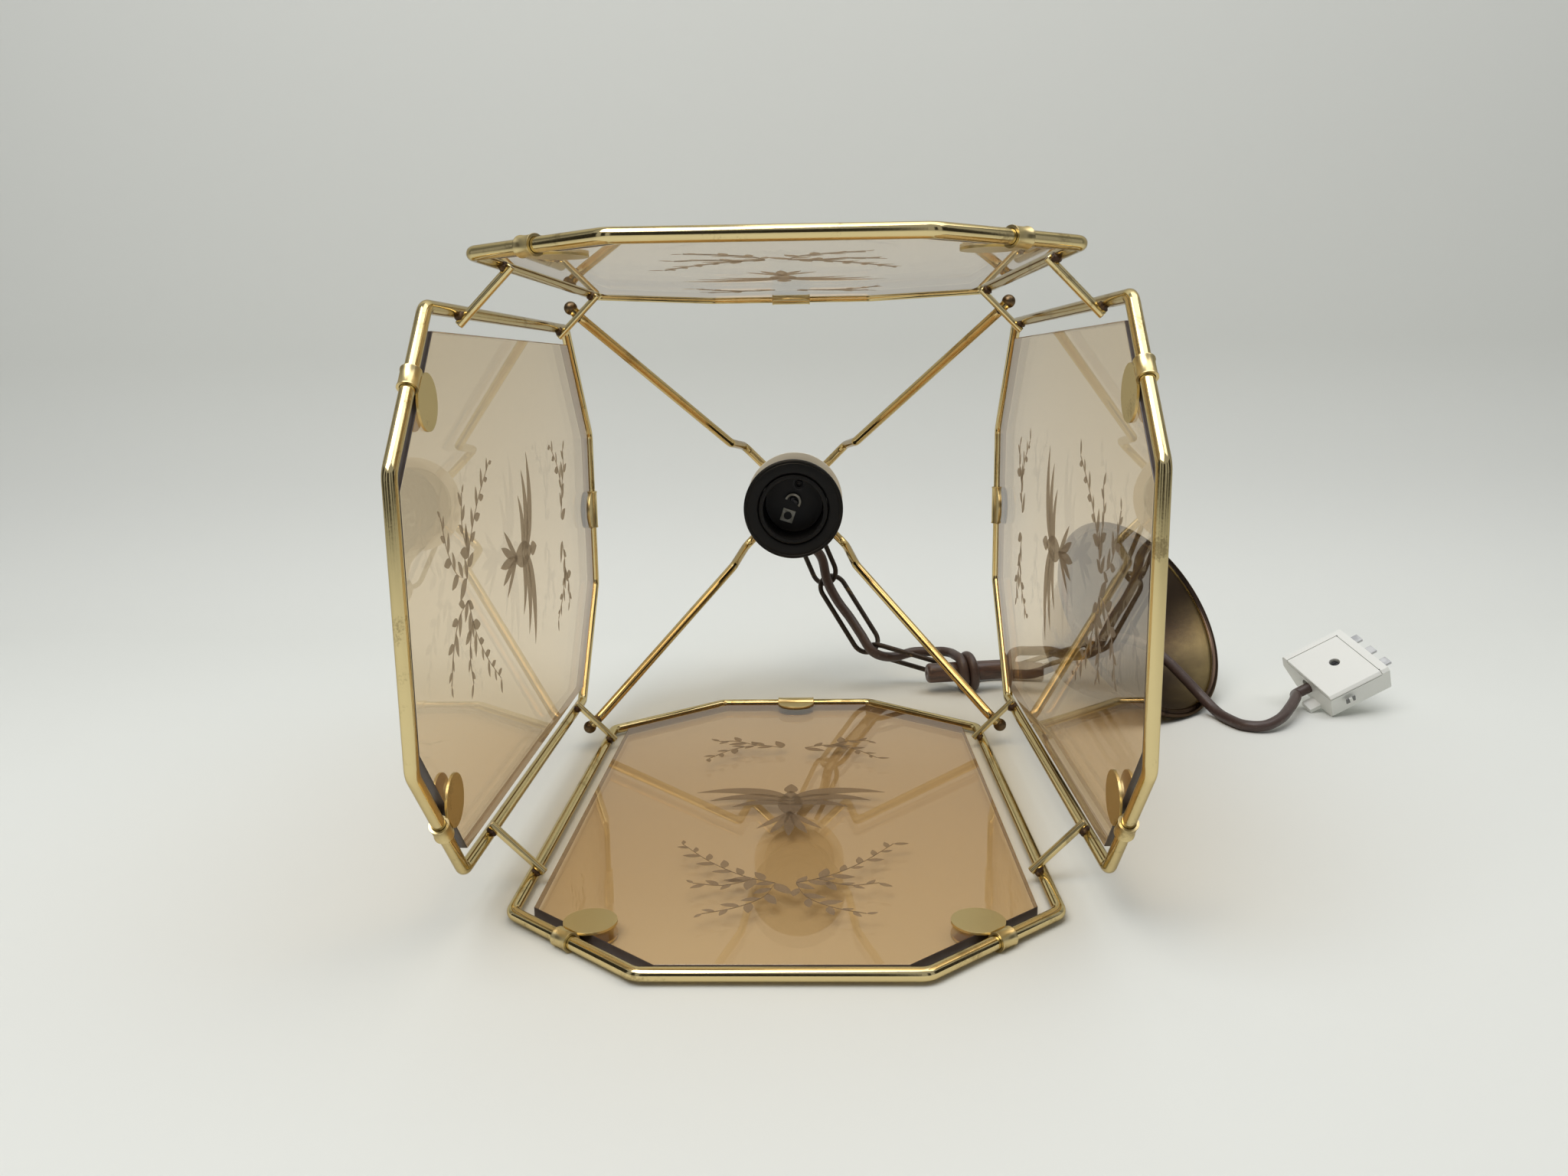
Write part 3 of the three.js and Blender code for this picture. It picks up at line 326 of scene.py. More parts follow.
class Value:
    """A socket of a node tree that takes part in sums."""

    def __init__(self, tree, socket):
        self.tree = tree
        self.socket = socket

    def math(self, operation, *terms):
        return self.tree.node("ShaderNodeMath", {"operation": operation}, dict(enumerate(terms)))

    def __add__(self, other):
        return self.math("ADD", self, other)

    __radd__ = __add__

    def __sub__(self, other):
        return self.math("SUBTRACT", self, other)

    def __rsub__(self, other):
        return self.math("SUBTRACT", other, self)

    def __mul__(self, other):
        return self.math("MULTIPLY", self, other)

    __rmul__ = __mul__

    def __pow__(self, other):
        return self.math("POWER", self, other)

    def __rpow__(self, other):
        return self.math("POWER", other, self)

    def band(self, low, high):
        """0 below low, 1 above high and smooth between them."""
        return self.tree.node("ShaderNodeMapRange", {"interpolation_type": "SMOOTHSTEP"},
                              {0: self, 1: low, 2: high})


class Tree:
    """A node tree under construction."""

    def node(self, kind, settings, inputs, output=0):
        """Adds a node and gives back one of its outputs."""
        node = self.nodes.new(kind)
        for name, setting in settings.items():
            setattr(node, name, setting)
        for name, value in inputs.items():
            socket = node.inputs[name]
            if isinstance(value, Value):
                self.links.new(value.socket, socket)
            else:
                plain = socket.type == "RGBA" and len(value) == 3
                socket.default_value = (*value, 1.0) if plain else value
        return Value(self, node.outputs[output])


class Look(Tree):
    """The tree of a material, or of a world."""

    def __init__(self, name, kind="Material"):
        self.made = getattr(bpy.data, kind.lower() + "s").new(name)
        self.made.use_nodes = True
        self.nodes = self.made.node_tree.nodes
        self.links = self.made.node_tree.links
        self.nodes.clear()
        self.end = self.nodes.new("ShaderNodeOutput" + kind)

    def place(self, stretch=(1, 1, 1), turn=(0, 0, 0)):
        coordinates = self.node("ShaderNodeTexCoord", {}, {}, "Object")
        return self.node("ShaderNodeMapping", {},
                         {"Vector": coordinates, "Rotation": turn, "Scale": stretch})

    def noise(self, scale, detail=3.0, rough=0.5, **mapping):
        return self.node("ShaderNodeTexNoise", {}, {
            "Vector": self.place(**mapping), "Scale": scale, "Detail": detail, "Roughness": rough})

    def along(self, axis):
        """The place on the piece along one axis."""
        return self.node("ShaderNodeSeparateXYZ", {}, {0: self.place()}, "XYZ".index(axis))

    def mix(self, factor, first, second):
        return self.node("ShaderNodeMix", {"data_type": "RGBA"}, {0: factor, 6: first, 7: second}, 2)

    def bump(self, height, strength, distance):
        return self.node("ShaderNodeBump", {},
                         {"Strength": strength, "Distance": distance, "Height": height})

    def rays(self, *kinds):
        """1 for a ray of one of the kinds, such as the camera's own, and 0 for any other."""
        seen = self.node("ShaderNodeLightPath", {}, {}, kinds[0])
        for kind in kinds[1:]:
            seen = seen.math("MAXIMUM", seen, self.node("ShaderNodeLightPath", {}, {}, kind))
        return seen

    def surface(self, **inputs):
        names = {name.replace("_", " ").title().replace("Ior", "IOR"): value
                 for name, value in inputs.items()}
        return self.node("ShaderNodeBsdfPrincipled", {}, names)

    def clear(self, tint=(1, 1, 1)):
        return self.node("ShaderNodeBsdfTransparent", {}, {"Color": tint})

    def blend(self, factor, first, second):
        return self.node("ShaderNodeMixShader", {}, {0: factor, 1: first, 2: second})

    def done(self, shader):
        self.links.new(shader.socket, self.end.inputs["Surface"])
        return self.made

    def coat(self, **inputs):
        """The material of one plain surface."""
        return self.done(self.surface(**inputs))


# Materials


def times(tone, factor):
    return tuple(channel * factor for channel in tone)


def brass_look(name, bright, dull, rough, wear_share):
    """Lacquered brass: brown where the lacquer is worn, with fine grain."""
    look = Look(name)
    patches = look.noise(55.0, 4.0, 0.6)
    grain = look.noise(1400.0)
    worn = (patches + (grain - 0.5) * 0.3).band(0.56, 0.7) * wear_share
    return look.coat(
        base_color=look.mix(worn, bright, dull), metallic=1.0,
        roughness=rough + worn * 0.16 + (grain - 0.5) * 0.06,
        specular_tint=(0.6, 0.56, 0.5), normal=look.bump(patches + grain * 0.3, 0.08, 0.0003))


def solder_look(tone):
    look = Look("brown_solder")
    lumps = look.noise(500.0, 4.0)
    mixed = look.mix(lumps.band(0.45, 0.7), tone, (0.16, 0.095, 0.04))
    return look.coat(base_color=mixed, metallic=0.5, roughness=0.42 + lumps * 0.2,
                     normal=look.bump(lumps, 0.5, 0.0004))


def glass_look(tint):
    """Bronze float glass: see-through with a tint, and a mirror at low angles."""
    look = Look("bronze_glass")
    smears = look.noise(28.0, 3.0, 0.6)
    gloss = look.surface(base_color=(0.95, 0.9, 0.84), metallic=1.0,
                         roughness=0.012 + smears.band(0.5, 0.75) * 0.03)
    haze = look.surface(base_color=(0.5, 0.36, 0.22), roughness=0.4)
    body = look.blend(0.04, look.clear(tint), haze)
    slant = look.node("ShaderNodeLayerWeight", {}, {"Blend": 0.5}, "Facing")
    return look.done(look.blend(slant ** 5.0 * 0.9 + 0.045, body, gloss))


def ground_edge_look(name, tone, cover):
    """The ground edge of a pane, which lets some light through where cover is under 1."""
    look = Look(name)
    streaks = look.noise(260.0)
    lighter = tuple(channel + 0.05 for channel in tone)
    body = look.surface(base_color=look.mix(streaks, tone, lighter),
                        roughness=0.3 + streaks * 0.2, coat_weight=0.15)
    return look.done(look.blend(cover, look.clear((0.72, 0.56, 0.4)), body))


def etched_look(tone):
    """Frosted glass, which scatters light from both sides and lets some through."""
    look = Look("etched_decor")
    frost = look.noise(1800.0, 2.0)
    face = look.surface(base_color=look.mix(frost.band(0.35, 0.65), tone, (0.3, 0.25, 0.2)),
                        roughness=0.75, normal=look.bump(frost, 0.3, 0.0001))
    glow = look.node("ShaderNodeBsdfTranslucent", {}, {"Color": (0.42, 0.36, 0.3)})
    return look.done(look.blend(0.68, look.clear((0.9, 0.86, 0.8)), look.blend(0.4, face, glow)))


def moulded_look(name, tone, rough, coat, mottle=0.25, shine=0.5):
    """Moulded plastic with a faint orange-peel skin."""
    look = Look(name)
    cloud = look.noise(45.0)
    return look.coat(
        base_color=look.mix(cloud, tone, times(tone, 1 - mottle)), roughness=rough + cloud * 0.12,
        coat_weight=coat, specular_ior_level=shine,
        normal=look.bump(look.noise(900.0, 2.0), 0.08, 0.0002))


def metal_look(name, tone, dark, rough):
    look = Look(name)
    cloud = look.noise(160.0, 4.0, 0.6)
    return look.coat(
        base_color=look.mix(cloud.band(0.4, 0.7), tone, dark), metallic=1.0,
        roughness=rough + cloud * 0.15,
        normal=look.bump(look.noise(2400.0, 2.0) + cloud, 0.1, 0.0002))


def bronze_look(tone):
    """Dark bronze, rubbed brighter in spots."""
    look = Look("dark_bronze")
    patina = look.noise(240.0, 4.0, 0.6)
    rubbed = patina.band(0.56, 0.72)
    return look.coat(
        base_color=look.mix(rubbed, tone, (0.17, 0.115, 0.06)), metallic=0.8,
        roughness=0.48 - rubbed * 0.12, normal=look.bump(patina, 0.25, 0.0003))


def cord_look(tone):
    look = Look("cord_sheath")
    scuffs = look.noise(420.0, 4.0, 0.6)
    mixed = look.mix(scuffs.band(0.55, 0.75), tone, (0.15, 0.095, 0.075))
    return look.coat(
        base_color=look.mix(look.noise(35.0, 2.0) * 0.6, mixed, (0.035, 0.024, 0.022)),
        roughness=0.42 + scuffs * 0.15, coat_weight=0.15, normal=look.bump(scuffs, 0.12, 0.0002))


def keeper_look(tone):
    """Dark stained wood with its grain along the rod."""
    look = Look("stained_wood")
    grain = look.noise(500.0, 4.0, 0.6, stretch=(0.08, 1, 1), turn=(0, 0, -KEEPER_TURN))
    return look.coat(
        base_color=look.mix(grain.band(0.35, 0.7), tone, (0.12, 0.06, 0.04)),
        roughness=0.38 + grain * 0.2, coat_weight=0.3, normal=look.bump(grain, 0.3, 0.0003))


def canopy_inside_look(tone):
    """The raw inside of the canopy with painted light and shade: a painted gold light low on its right, and
    a painted brown shade elsewhere.
    """
    look = Look("tarnished_brass")
    specks = look.noise(520.0, 5.0, 0.7)
    spotted = look.mix(specks.band(0.62, 0.72), tone, (0.62, 0.5, 0.26))
    # Painted light and shade: this rises towards the lower right. Where it is high, the speckled gold is
    # painted light; where it is low, the dark brown is painted shade
    bright = look.along("X") - look.along("Z") * 0.5 + look.noise(42.0, 3.0, 0.6) * 0.03
    return look.coat(base_color=look.mix(bright.band(0.155, 0.225), (0.06, 0.042, 0.028), spotted),
                     metallic=0.85, roughness=0.34 + specks * 0.2,
                     normal=look.bump(specks, 0.2, 0.0003))


def floor_look(tone):
    """White card, painted a little darker as a painted shade where it rises into the backdrop, and clear
    for a camera behind it.
    """
    look = Look("studio_floor")
    paper = look.mix(look.noise(3.0, 2.0), tone, times(tone, 0.97))
    # Painted shade: the card darkens to nine tenths from the floor up to 12 cm, where it rises into the
    # backdrop
    card = look.surface(base_color=look.mix(look.along("Z").band(0.0, 0.12), paper, times(tone, 0.9)),
                        roughness=0.9)
    behind = look.node("ShaderNodeNewGeometry", {}, {}, "Backfacing") * look.rays("Is Camera Ray")
    return look.done(look.blend(behind, card, look.clear()))


def make_looks(colours):
    tone = {name: tuple(getattr(colours, name)) for name in Finishes.__annotations__}
    return {
        "brass": brass_look("rod_brass", tone["brass"], tone["dull_brass"], 0.12, 0.6),
        "arm": brass_look("arm_brass", tone["arm_brass"], tone["dull_brass"], 0.12, 0.5),
        "scorched": brass_look("scorched_brass", (0.15, 0.1, 0.055), tone["solder"], 0.34, 0.9),
        "clip": brass_look("clip_brass", tone["brass"], tone["dull_brass"], 0.3, 0.45),
        # The cap is painted pale and matte: a painted reflection of the pale backdrop in its brass
        "pale": moulded_look("cap_enamel", tone["pale_brass"], 0.3, 0.5, 0.08),
        "canopy": brass_look("canopy_brass", tone["canopy_brass"], (0.1, 0.075, 0.05), 0.26, 0.6),
        # The canopy's bead: brass painted near black, a painted reflection of dark surroundings
        "canopy_lip": brass_look("lip_brass", (0.07, 0.046, 0.032), (0.03, 0.022, 0.018), 0.24, 0.9),
        "canopy_inside": canopy_inside_look(tone["canopy_inside"]),
        "solder": solder_look(tone["solder"]),
        "glass": glass_look(tone["glass"]),
        "edge": ground_edge_look("dark_glass_edge", tone["ground_edge"], 1.0),
        # The other edges: the amber of the glass's edge, darkened as a painted shadow beside the rods
        "amber_edge": ground_edge_look("amber_glass_edge", tone["amber_edge"], 0.6),
        "etching": etched_look(tone["etching"]),
        "bakelite": moulded_look("black_moulding", tone["bakelite"], 0.3, 0.0, shine=0.22),
        "porcelain": moulded_look("insert_moulding", tone["porcelain"], 0.35, 0.0, shine=0.2),
        "contact": metal_look("contact_brass", (0.34, 0.33, 0.3), (0.15, 0.14, 0.11), 0.3),
        # Dark steel; on the plug's lid screw it is a painted shade of the hole that the screw sits in
        "dark_steel": metal_look("blackened_steel", (0.06, 0.06, 0.065), (0.03, 0.03, 0.03), 0.35),
        "steel": metal_look("satin_steel", tone["steel"], (0.34, 0.34, 0.35), 0.28),
        "bronze": bronze_look(tone["bronze"]),
        "cord": cord_look(tone["cord"]),
        "keeper": keeper_look(tone["keeper"]),
        "plug": moulded_look("white_moulding", tone["plug"], 0.34, 0.12, 0.05),
        "recess": moulded_look("shadowed_recess", (0.2, 0.2, 0.19), 0.5, 0.0),
        "nylon": moulded_look("nylon_moulding", tone["nylon"], 0.4, 0.1, 0.1),
    }


LOOKS = {}


# Meshes


def mesh_from(shape):
    """A mesh from a bmesh, which is freed."""
    mesh = bpy.data.meshes.new("shape")
    shape.to_mesh(mesh)
    shape.free()
    return mesh


def piece_from(name, shape, *materials, sharp=40.0):
    """An object at the origin from a shape in place, shaded smooth but for its sharp edges."""
    mesh = mesh_from(shape) if isinstance(shape, bmesh.types.BMesh) else shape
    mesh.name = name
    for material in materials:
        mesh.materials.append(material)
    mesh.shade_smooth()
    mesh.set_sharp_from_angle(angle=math.radians(sharp))
    piece = bpy.data.objects.new(name, mesh)
    bpy.context.scene.collection.objects.link(piece)
    return piece


def finish(name, shape, looks, body, slot, *nodes, edge=0.0, segments=2, angle=30.0, sharp=40.0):
    """A piece in its looks, its edges rounded by edge, on its body and in place of its plain solids."""
    piece = piece_from(name, shape, *(LOOKS[look] for look in looks.split()), sharp=sharp)
    if edge:
        rounding = piece.modifiers.new("Rounded edges", "BEVEL")
        rounding.width = edge
        rounding.segments = segments
        rounding.limit_method = "ANGLE"
        rounding.angle_limit = math.radians(angle)
        rounding.harden_normals = False
    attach(piece, body)
    if nodes:
        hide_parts(*nodes)
    return piece


def copy_of(node):
    """A merged copy of a plain solid, its triangles joined into flat faces."""
    shape = bmesh.new()
    shape.from_mesh(frame["nodes"][node].data)
    bmesh.ops.remove_doubles(shape, verts=shape.verts, dist=MERGE_SOLID)
    bmesh.ops.dissolve_limit(shape, angle_limit=math.radians(1.0), verts=shape.verts, edges=shape.edges)
    return shape


def settle(shape, faces, index):
    """New faces of a shape, turned outwards and in the material of that index."""
    for face in faces:
        face.material_index = index
    bmesh.ops.recalc_face_normals(shape, faces=faces)
    return faces


def add_lathe(shape, outline, place, segments=96, index=0):
    """Turns an outline of radius and height about the Z axis of place, closed on itself."""
    rings = []
    for radius, height in outline:
        if radius < ON_AXIS:
            rings.append([shape.verts.new(place @ Vector((0, 0, height)))])
            continue
        ring = []
        for step in range(segments):
            angle = 2 * math.pi * step / segments
            ring.append(shape.verts.new(place @ Vector((
                radius * math.cos(angle), radius * math.sin(angle), height))))
        rings.append(ring)
    faces = []
    for here, there in zip(rings, rings[1:] + rings[:1]):
        for step in range(segments):
            after = (step + 1) % segments
            corners = []
            for ring, side in ((here, step), (here, after), (there, after), (there, step)):
                vertex = ring[side % len(ring)]
                if vertex not in corners:
                    corners.append(vertex)
            if len(corners) > 2:
                faces.append(shape.faces.new(corners))
    return settle(shape, faces, index)


def add_ball(shape, centre, radius, index=0, segments=24):
    verts = bmesh.ops.create_uvsphere(
        shape, u_segments=segments, v_segments=segments // 2, radius=radius,
        matrix=Matrix.Translation(centre))["verts"]
    for face in {face for vertex in verts for face in vertex.link_faces}:
        face.material_index = index


def add_prism(shape, outline, low, high, place, index=0):
    """A flat outline in XY, drawn out from low to high along Z."""
    bottom = [shape.verts.new(place @ Vector((x, y, low))) for x, y in outline]
    top = [shape.verts.new(place @ Vector((x, y, high))) for x, y in outline]
    faces = [shape.faces.new(bottom[::-1]), shape.faces.new(top)]
    for i, corner in enumerate(bottom):
        j = (i + 1) % len(bottom)
        faces.append(shape.faces.new((corner, bottom[j], top[j], top[i])))
    return settle(shape, faces, index)


def add_band(shape, inner, outer, low, high, place, closed=True, index=0):
    """A flat plate between two outlines of as many points, drawn out from low to high along Z."""
    posts = [[shape.verts.new(place @ Vector((x, y, z))) for (x, y), z in (
        (inside, low), (outside, low), (outside, high), (inside, high))]
        for inside, outside in zip(inner, outer)]
    faces = []
    for here, there in zip(posts, posts[1:] + posts[:1] if closed else posts[1:]):
        for k in range(4):
            j = (k + 1) % 4
            faces.append(shape.faces.new((here[k], here[j], there[j], there[k])))
    if not closed:
        faces += [shape.faces.new(posts[0][::-1]), shape.faces.new(posts[-1])]
    settle(shape, faces, index)


def arc(radius, start, end, steps):
    """Points on a circle from the start angle to the end angle, in degrees."""
    angles = [math.radians(start + (end - start) * k / steps) for k in range(steps + 1)]
    return [(radius * math.cos(a), radius * math.sin(a)) for a in angles]


def along(axis, centre):
    """A placement whose Z axis runs along axis through centre."""
    turn = Vector((0, 0, 1)).rotation_difference(Vector(axis).normalized())
    return Matrix.Translation(centre) @ turn.to_matrix().to_4x4()


def soften(outline, radius, steps=3):
    """A closed outline with its corners cut round."""
    points = []
    count = len(outline)
    for index, corner in enumerate(outline):
        here = Vector(corner)
        back = Vector(outline[index - 1]) - here
        ahead = Vector(outline[(index + 1) % count]) - here
        reach = min(radius, back.length * 0.45, ahead.length * 0.45)
        start = here + back.normalized() * reach
        end = here + ahead.normalized() * reach
        for step in range(steps + 1):
            t = step / steps
            points.append(tuple((1 - t) ** 2 * start + 2 * t * (1 - t) * here + t * t * end))
    return points


# Geometry Nodes


class Group(Tree):
    """A Geometry Nodes tree with named inputs."""

    def __init__(self, name, **inputs):
        self.made = bpy.data.node_groups.new(name, "GeometryNodeTree")
        self.nodes = self.made.nodes
        self.links = self.made.links
        face = self.made.interface
        face.new_socket("Geometry", in_out="OUTPUT", socket_type="NodeSocketGeometry")
        for label, kind in {"Geometry": "Geometry", **inputs, "Material": "Material"}.items():
            face.new_socket(label.replace("_", " "), in_out="INPUT", socket_type="NodeSocket" + kind)
        self.inputs = self.nodes.new("NodeGroupInput").outputs

    def given(self, label):
        return Value(self, self.inputs[label])

    def grown(self, kind, output=0, settings=None, **inputs):
        """A Geometry Nodes node, with its inputs' names as keywords."""
        names = {name.replace("_", " "): value for name, value in inputs.items()}
        return self.node("GeometryNode" + kind, settings or {}, names, output)

    def finish(self, geometry):
        smooth = self.grown("SetShadeSmooth", Geometry=geometry)
        real = self.grown("RealizeInstances", Geometry=smooth)
        coated = self.grown("SetMaterial", Geometry=real, Material=self.given("Material"))
        end = self.nodes.new("NodeGroupOutput")
        self.links.new(coated.socket, end.inputs["Geometry"])
        return self.made


def rod_tree():
    """A round rod along the edges of the given mesh, its corners bent round."""
    group = Group("Rod along a path", Diameter="Float", Bend_radius="Float", Bend_steps="Int",
                  Sides="Int")
    curve = group.grown("MeshToCurve", Mesh=group.given("Geometry"))
    bent = group.grown("FilletCurve", settings={"mode": "POLY"}, Curve=curve,
                       Radius=group.given("Bend radius"), Count=group.given("Bend steps"),
                       Limit_Radius=True)
    section = group.grown("CurvePrimitiveCircle", Resolution=group.given("Sides"),
                          Radius=group.given("Diameter") * 0.5)
    return group.finish(group.grown("CurveToMesh", Curve=bent, Profile_Curve=section, Fill_Caps=True))


def blob_tree():
    """A small lump of solder at each point of the given mesh, each a little different."""
    group = Group("Solder at each joint", Diameter="Float", Unevenness="Float", Seed="Int")
    ball = group.grown("MeshIcoSphere", Radius=group.given("Diameter") * 0.5, Subdivisions=4)
    size = group.node("FunctionNodeRandomValue", {"data_type": "FLOAT_VECTOR"}, {
        "Min": (0.75, 0.85, 0.75), "Max": (1.1, 1.35, 1.1), "Seed": group.given("Seed")})
    placed = group.grown("InstanceOnPoints", Points=group.given("Geometry"), Instance=ball, Scale=size)
    real = group.grown("RealizeInstances", Geometry=placed)
    lumps = group.node("ShaderNodeTexNoise", {}, {"Scale": 420.0, "Detail": 2.0})
    push = (lumps - 0.5) * group.given("Diameter") * group.given("Unevenness")
    offset = group.node("ShaderNodeVectorMath", {"operation": "SCALE"},
                        {0: group.grown("InputNormal"), "Scale": push})
    return group.finish(group.grown("SetPosition", Geometry=real, Offset=offset))


def leaf_tree():
    """A pair of leaves at even steps along each stem of the given mesh, smaller towards the tip."""
    group = Group("Leaves along a stem", Leaf="Object", Spacing="Float", Spread="Float",
                  Stem_width="Float", Seed="Int")
    curve = group.grown("MeshToCurve", Mesh=group.given("Geometry"))
    points = group.grown("ResampleCurve", settings={"mode": "LENGTH"}, Curve=curve,
                         Length=group.given("Spacing"))
    facing = group.node("FunctionNodeAlignRotationToVector", {"axis": "X", "pivot_axis": "Z"},
                        {"Vector": group.grown("InputTangent")})
    index = group.grown("InputIndex")
    side = index.math("MODULO", index, 2.0) * 2.0 - 1.0
    jitter = group.node("FunctionNodeRandomValue", {"data_type": "FLOAT"},
                        {2: 0.75, 3: 1.25, "Seed": group.given("Seed")}, 1)
    angle = side * (group.given("Spread") * jitter)
    euler = group.node("ShaderNodeCombineXYZ", {}, {"Z": angle})
    turn = group.node("FunctionNodeEulerToRotation", {}, {0: euler})
    turned = group.node("FunctionNodeRotateRotation", {"rotation_space": "LOCAL"},
                        {"Rotation": facing, "Rotate By": turn})
    size = (group.grown("SplineParameter") * -0.45 + 1.0) * jitter
    leaf = group.grown("ObjectInfo", "Geometry", Object=group.given("Leaf"))
    leaves = group.grown("InstanceOnPoints", Points=points, Instance=leaf, Rotation=turned, Scale=size)
    across = group.grown("CurvePrimitiveLine", Start=(0.0, -0.5, 0.0), End=(0.0, 0.5, 0.0))
    width = group.given("Stem width")
    section = group.grown("Transform", Geometry=across, Scale=group.node(
        "ShaderNodeCombineXYZ", {}, {"X": width, "Y": width, "Z": 1.0}))
    stems = group.grown("CurveToMesh", Curve=curve, Profile_Curve=section)
    # Join Geometry takes both through one socket, so the second is linked to the same input
    joined = group.grown("JoinGeometry", Geometry=stems)
    group.links.new(leaves.socket, joined.socket.node.inputs["Geometry"])
    return group.finish(joined)


TREES = {"rod": rod_tree, "blob": blob_tree, "leaf": leaf_tree}
GROWN = {}


def grow(tree_name, verts, edges, look, **values):
    """A plain mesh made by a Geometry Nodes tree from points and edges."""
    if tree_name not in GROWN:
        GROWN[tree_name] = TREES[tree_name]()
    tree = GROWN[tree_name]
    base = bpy.data.meshes.new(tree_name)
    base.from_pydata([tuple(v) for v in verts], edges, [])
    carrier = bpy.data.objects.new(tree_name, base)
    bpy.context.scene.collection.objects.link(carrier)
    modifier = carrier.modifiers.new("Geometry", "NODES")
    modifier.node_group = tree
    names = {item.name: item.identifier for item in tree.interface.items_tree
             if item.in_out == "INPUT"}
    modifier[names["Material"]] = LOOKS[look]
    for label, value in values.items():
        modifier[names[label.replace("_", " ")]] = value
    depsgraph = bpy.context.evaluated_depsgraph_get()
    mesh = bpy.data.meshes.new_from_object(carrier.evaluated_get(depsgraph))
    bpy.data.objects.remove(carrier)
    return mesh


def rod(points, diameter, look, bend=0.0, closed=False, sides=24, steps=8):
    """A round rod through the points, its corners bent round, as a merged bmesh."""
    edges = [(i, i + 1) for i in range(len(points) - 1)]
    if closed:
        edges.append((len(points) - 1, 0))
    mesh = grow("rod", points, edges, look, Diameter=diameter, Bend_radius=bend, Bend_steps=steps,
                Sides=sides)
    shape = bmesh.new()
    shape.from_mesh(mesh)
    bmesh.ops.remove_doubles(shape, verts=shape.verts, dist=MERGE_ROD)
    bmesh.ops.recalc_face_normals(shape, faces=shape.faces)
    return shape


# Shapes of the panels


def panel_corners(p):
    """The frame's outline, counterclockwise from the mouth rod's right bend."""
    far = p.length
    half = [(p.mouth, 0.0), (p.side, p.mouth_chamfer), (p.side, far - p.crown_chamfer), (p.crown, far)]
    return half + [(-x, y) for x, y in reversed(half)]


def inset(outline, insets):
    """The outline with each edge moved in by its own inset."""
    lines = []
    count = len(outline)
    for index, start in enumerate(outline):
        start = Vector(start)
        run = (Vector(outline[(index + 1) % count]) - start).normalized()
        inward = Vector((-run.y, run.x))
        lines.append((start + inward * insets[index], run, inward))
    corners = []
    for index, (point, run, inward) in enumerate(lines):
        before, before_run, _ = lines[index - 1]
        reach = (point - before).dot(inward) / before_run.dot(inward)
        corners.append(tuple(before + before_run * reach))
    return corners


def strut_seat(p):
    """From the lantern's axis to the middle of a strut, inside the corner of the frames."""
    return (p.side + p.plane) / math.sqrt(2) - p.rod / 2 - p.strut / 2 - SEAT_GAP


def hub_places(p, c):
    """Places along the axis: the cap's rim and back, the hub's front and middle, the loop's foot."""
    rim = p.length + c.cap_beyond
    back = rim + c.cap_depth
    hub = back + c.cap_wall + SEAT_GAP
    return rim, back, hub, hub + c.hub_length / 2, hub + c.hub_length + SEAT_GAP


def pane_outline(p):
    corner, side = p.glass_corner, p.glass_side
    insets = [corner, side, corner, corner, corner, side, corner, p.rod / 2 + SEAT_GAP]
    return inset(panel_corners(p), insets)


def blade(start, bend, end, width, belly=0.5, steps=10):
    """A leaf or feather: a strip along a bent line, widest at belly, as left and right points."""
    start, bend, end = Vector(start), Vector(bend), Vector(end)
    left, right = [], []
    for step in range(steps + 1):
        t = step / steps
        point = (1 - t) ** 2 * start + 2 * t * (1 - t) * bend + t * t * end
        run = ((bend - start) * (1 - t) + (end - bend) * t).normalized()
        swell = (t / belly) if t < belly else (1 - t) / (1 - belly)
        half = width / 2 * math.sin(swell * math.pi / 2) ** 0.8 if 0 < swell else 0.0
        half = max(half, width * 0.02)
        across = Vector((-run.y, run.x)) * half
        left.append(point + across)
        right.append(point - across)
    return left, right


def add_blade(shape, *description, **options):
    left, right = ([shape.verts.new((p.x, p.y, 0)) for p in edge]
                   for edge in blade(*description, **options))
    for i in range(len(left) - 1):
        shape.faces.new((right[i], right[i + 1], left[i + 1], left[i]))


BIRD_Y = 0.15
BIRD_SPAN = 0.088
# A bird in flight, in shares of its span: start, bend, end, width and belly of each feather
BIRD_SHARES = [
    ((0.0, -0.16), (0.0, 0.0), (0.0, 0.2), 0.13, 0.5),
    ((0.0, 0.16), (0.0, 0.22), (0.0, 0.3), 0.075, 0.4),
    ((0.0, 0.08), (0.2, 0.26), (0.5, 0.17), 0.1, 0.35),
    ((0.0, 0.04), (0.2, 0.17), (0.42, 0.05), 0.09, 0.35),
    ((0.0, -0.01), (0.14, 0.08), (0.3, -0.04), 0.07, 0.4),
    ((0.0, -0.1), (0.0, -0.25), (0.0, -0.42), 0.05, 0.6),
    ((0.0, -0.1), (0.03, -0.25), (0.09, -0.39), 0.045, 0.6),
    ((0.0, -0.1), (0.05, -0.2), (0.16, -0.33), 0.04, 0.6),
]

# Stems of the sprays, in metres on the pane: points from root to tip, on the right half
SPRAY_STEMS = [
    [(0.004, 0.066), (0.016, 0.072), (0.03, 0.085), (0.044, 0.104)],
    [(0.012, 0.07), (0.024, 0.064), (0.036, 0.066)],
    [(0.004, 0.066), (0.008, 0.054), (0.018, 0.045), (0.03, 0.04)],
    [(0.006, 0.232), (0.018, 0.236), (0.031, 0.23), (0.043, 0.215)],
    [(0.02, 0.236), (0.03, 0.243), (0.04, 0.243)],
]
# One leaf from its foot, and how leaves sit on a stem, in metres on the pane
LEAF_BEND = (0.0045, 0.001)
LEAF_TIP = (0.0095, 0)
LEAF_WIDTH = 0.0041
LEAF_SPACING = 0.0048
STEM_WIDTH = 0.0004
DECOR_LIFT = 0.00004

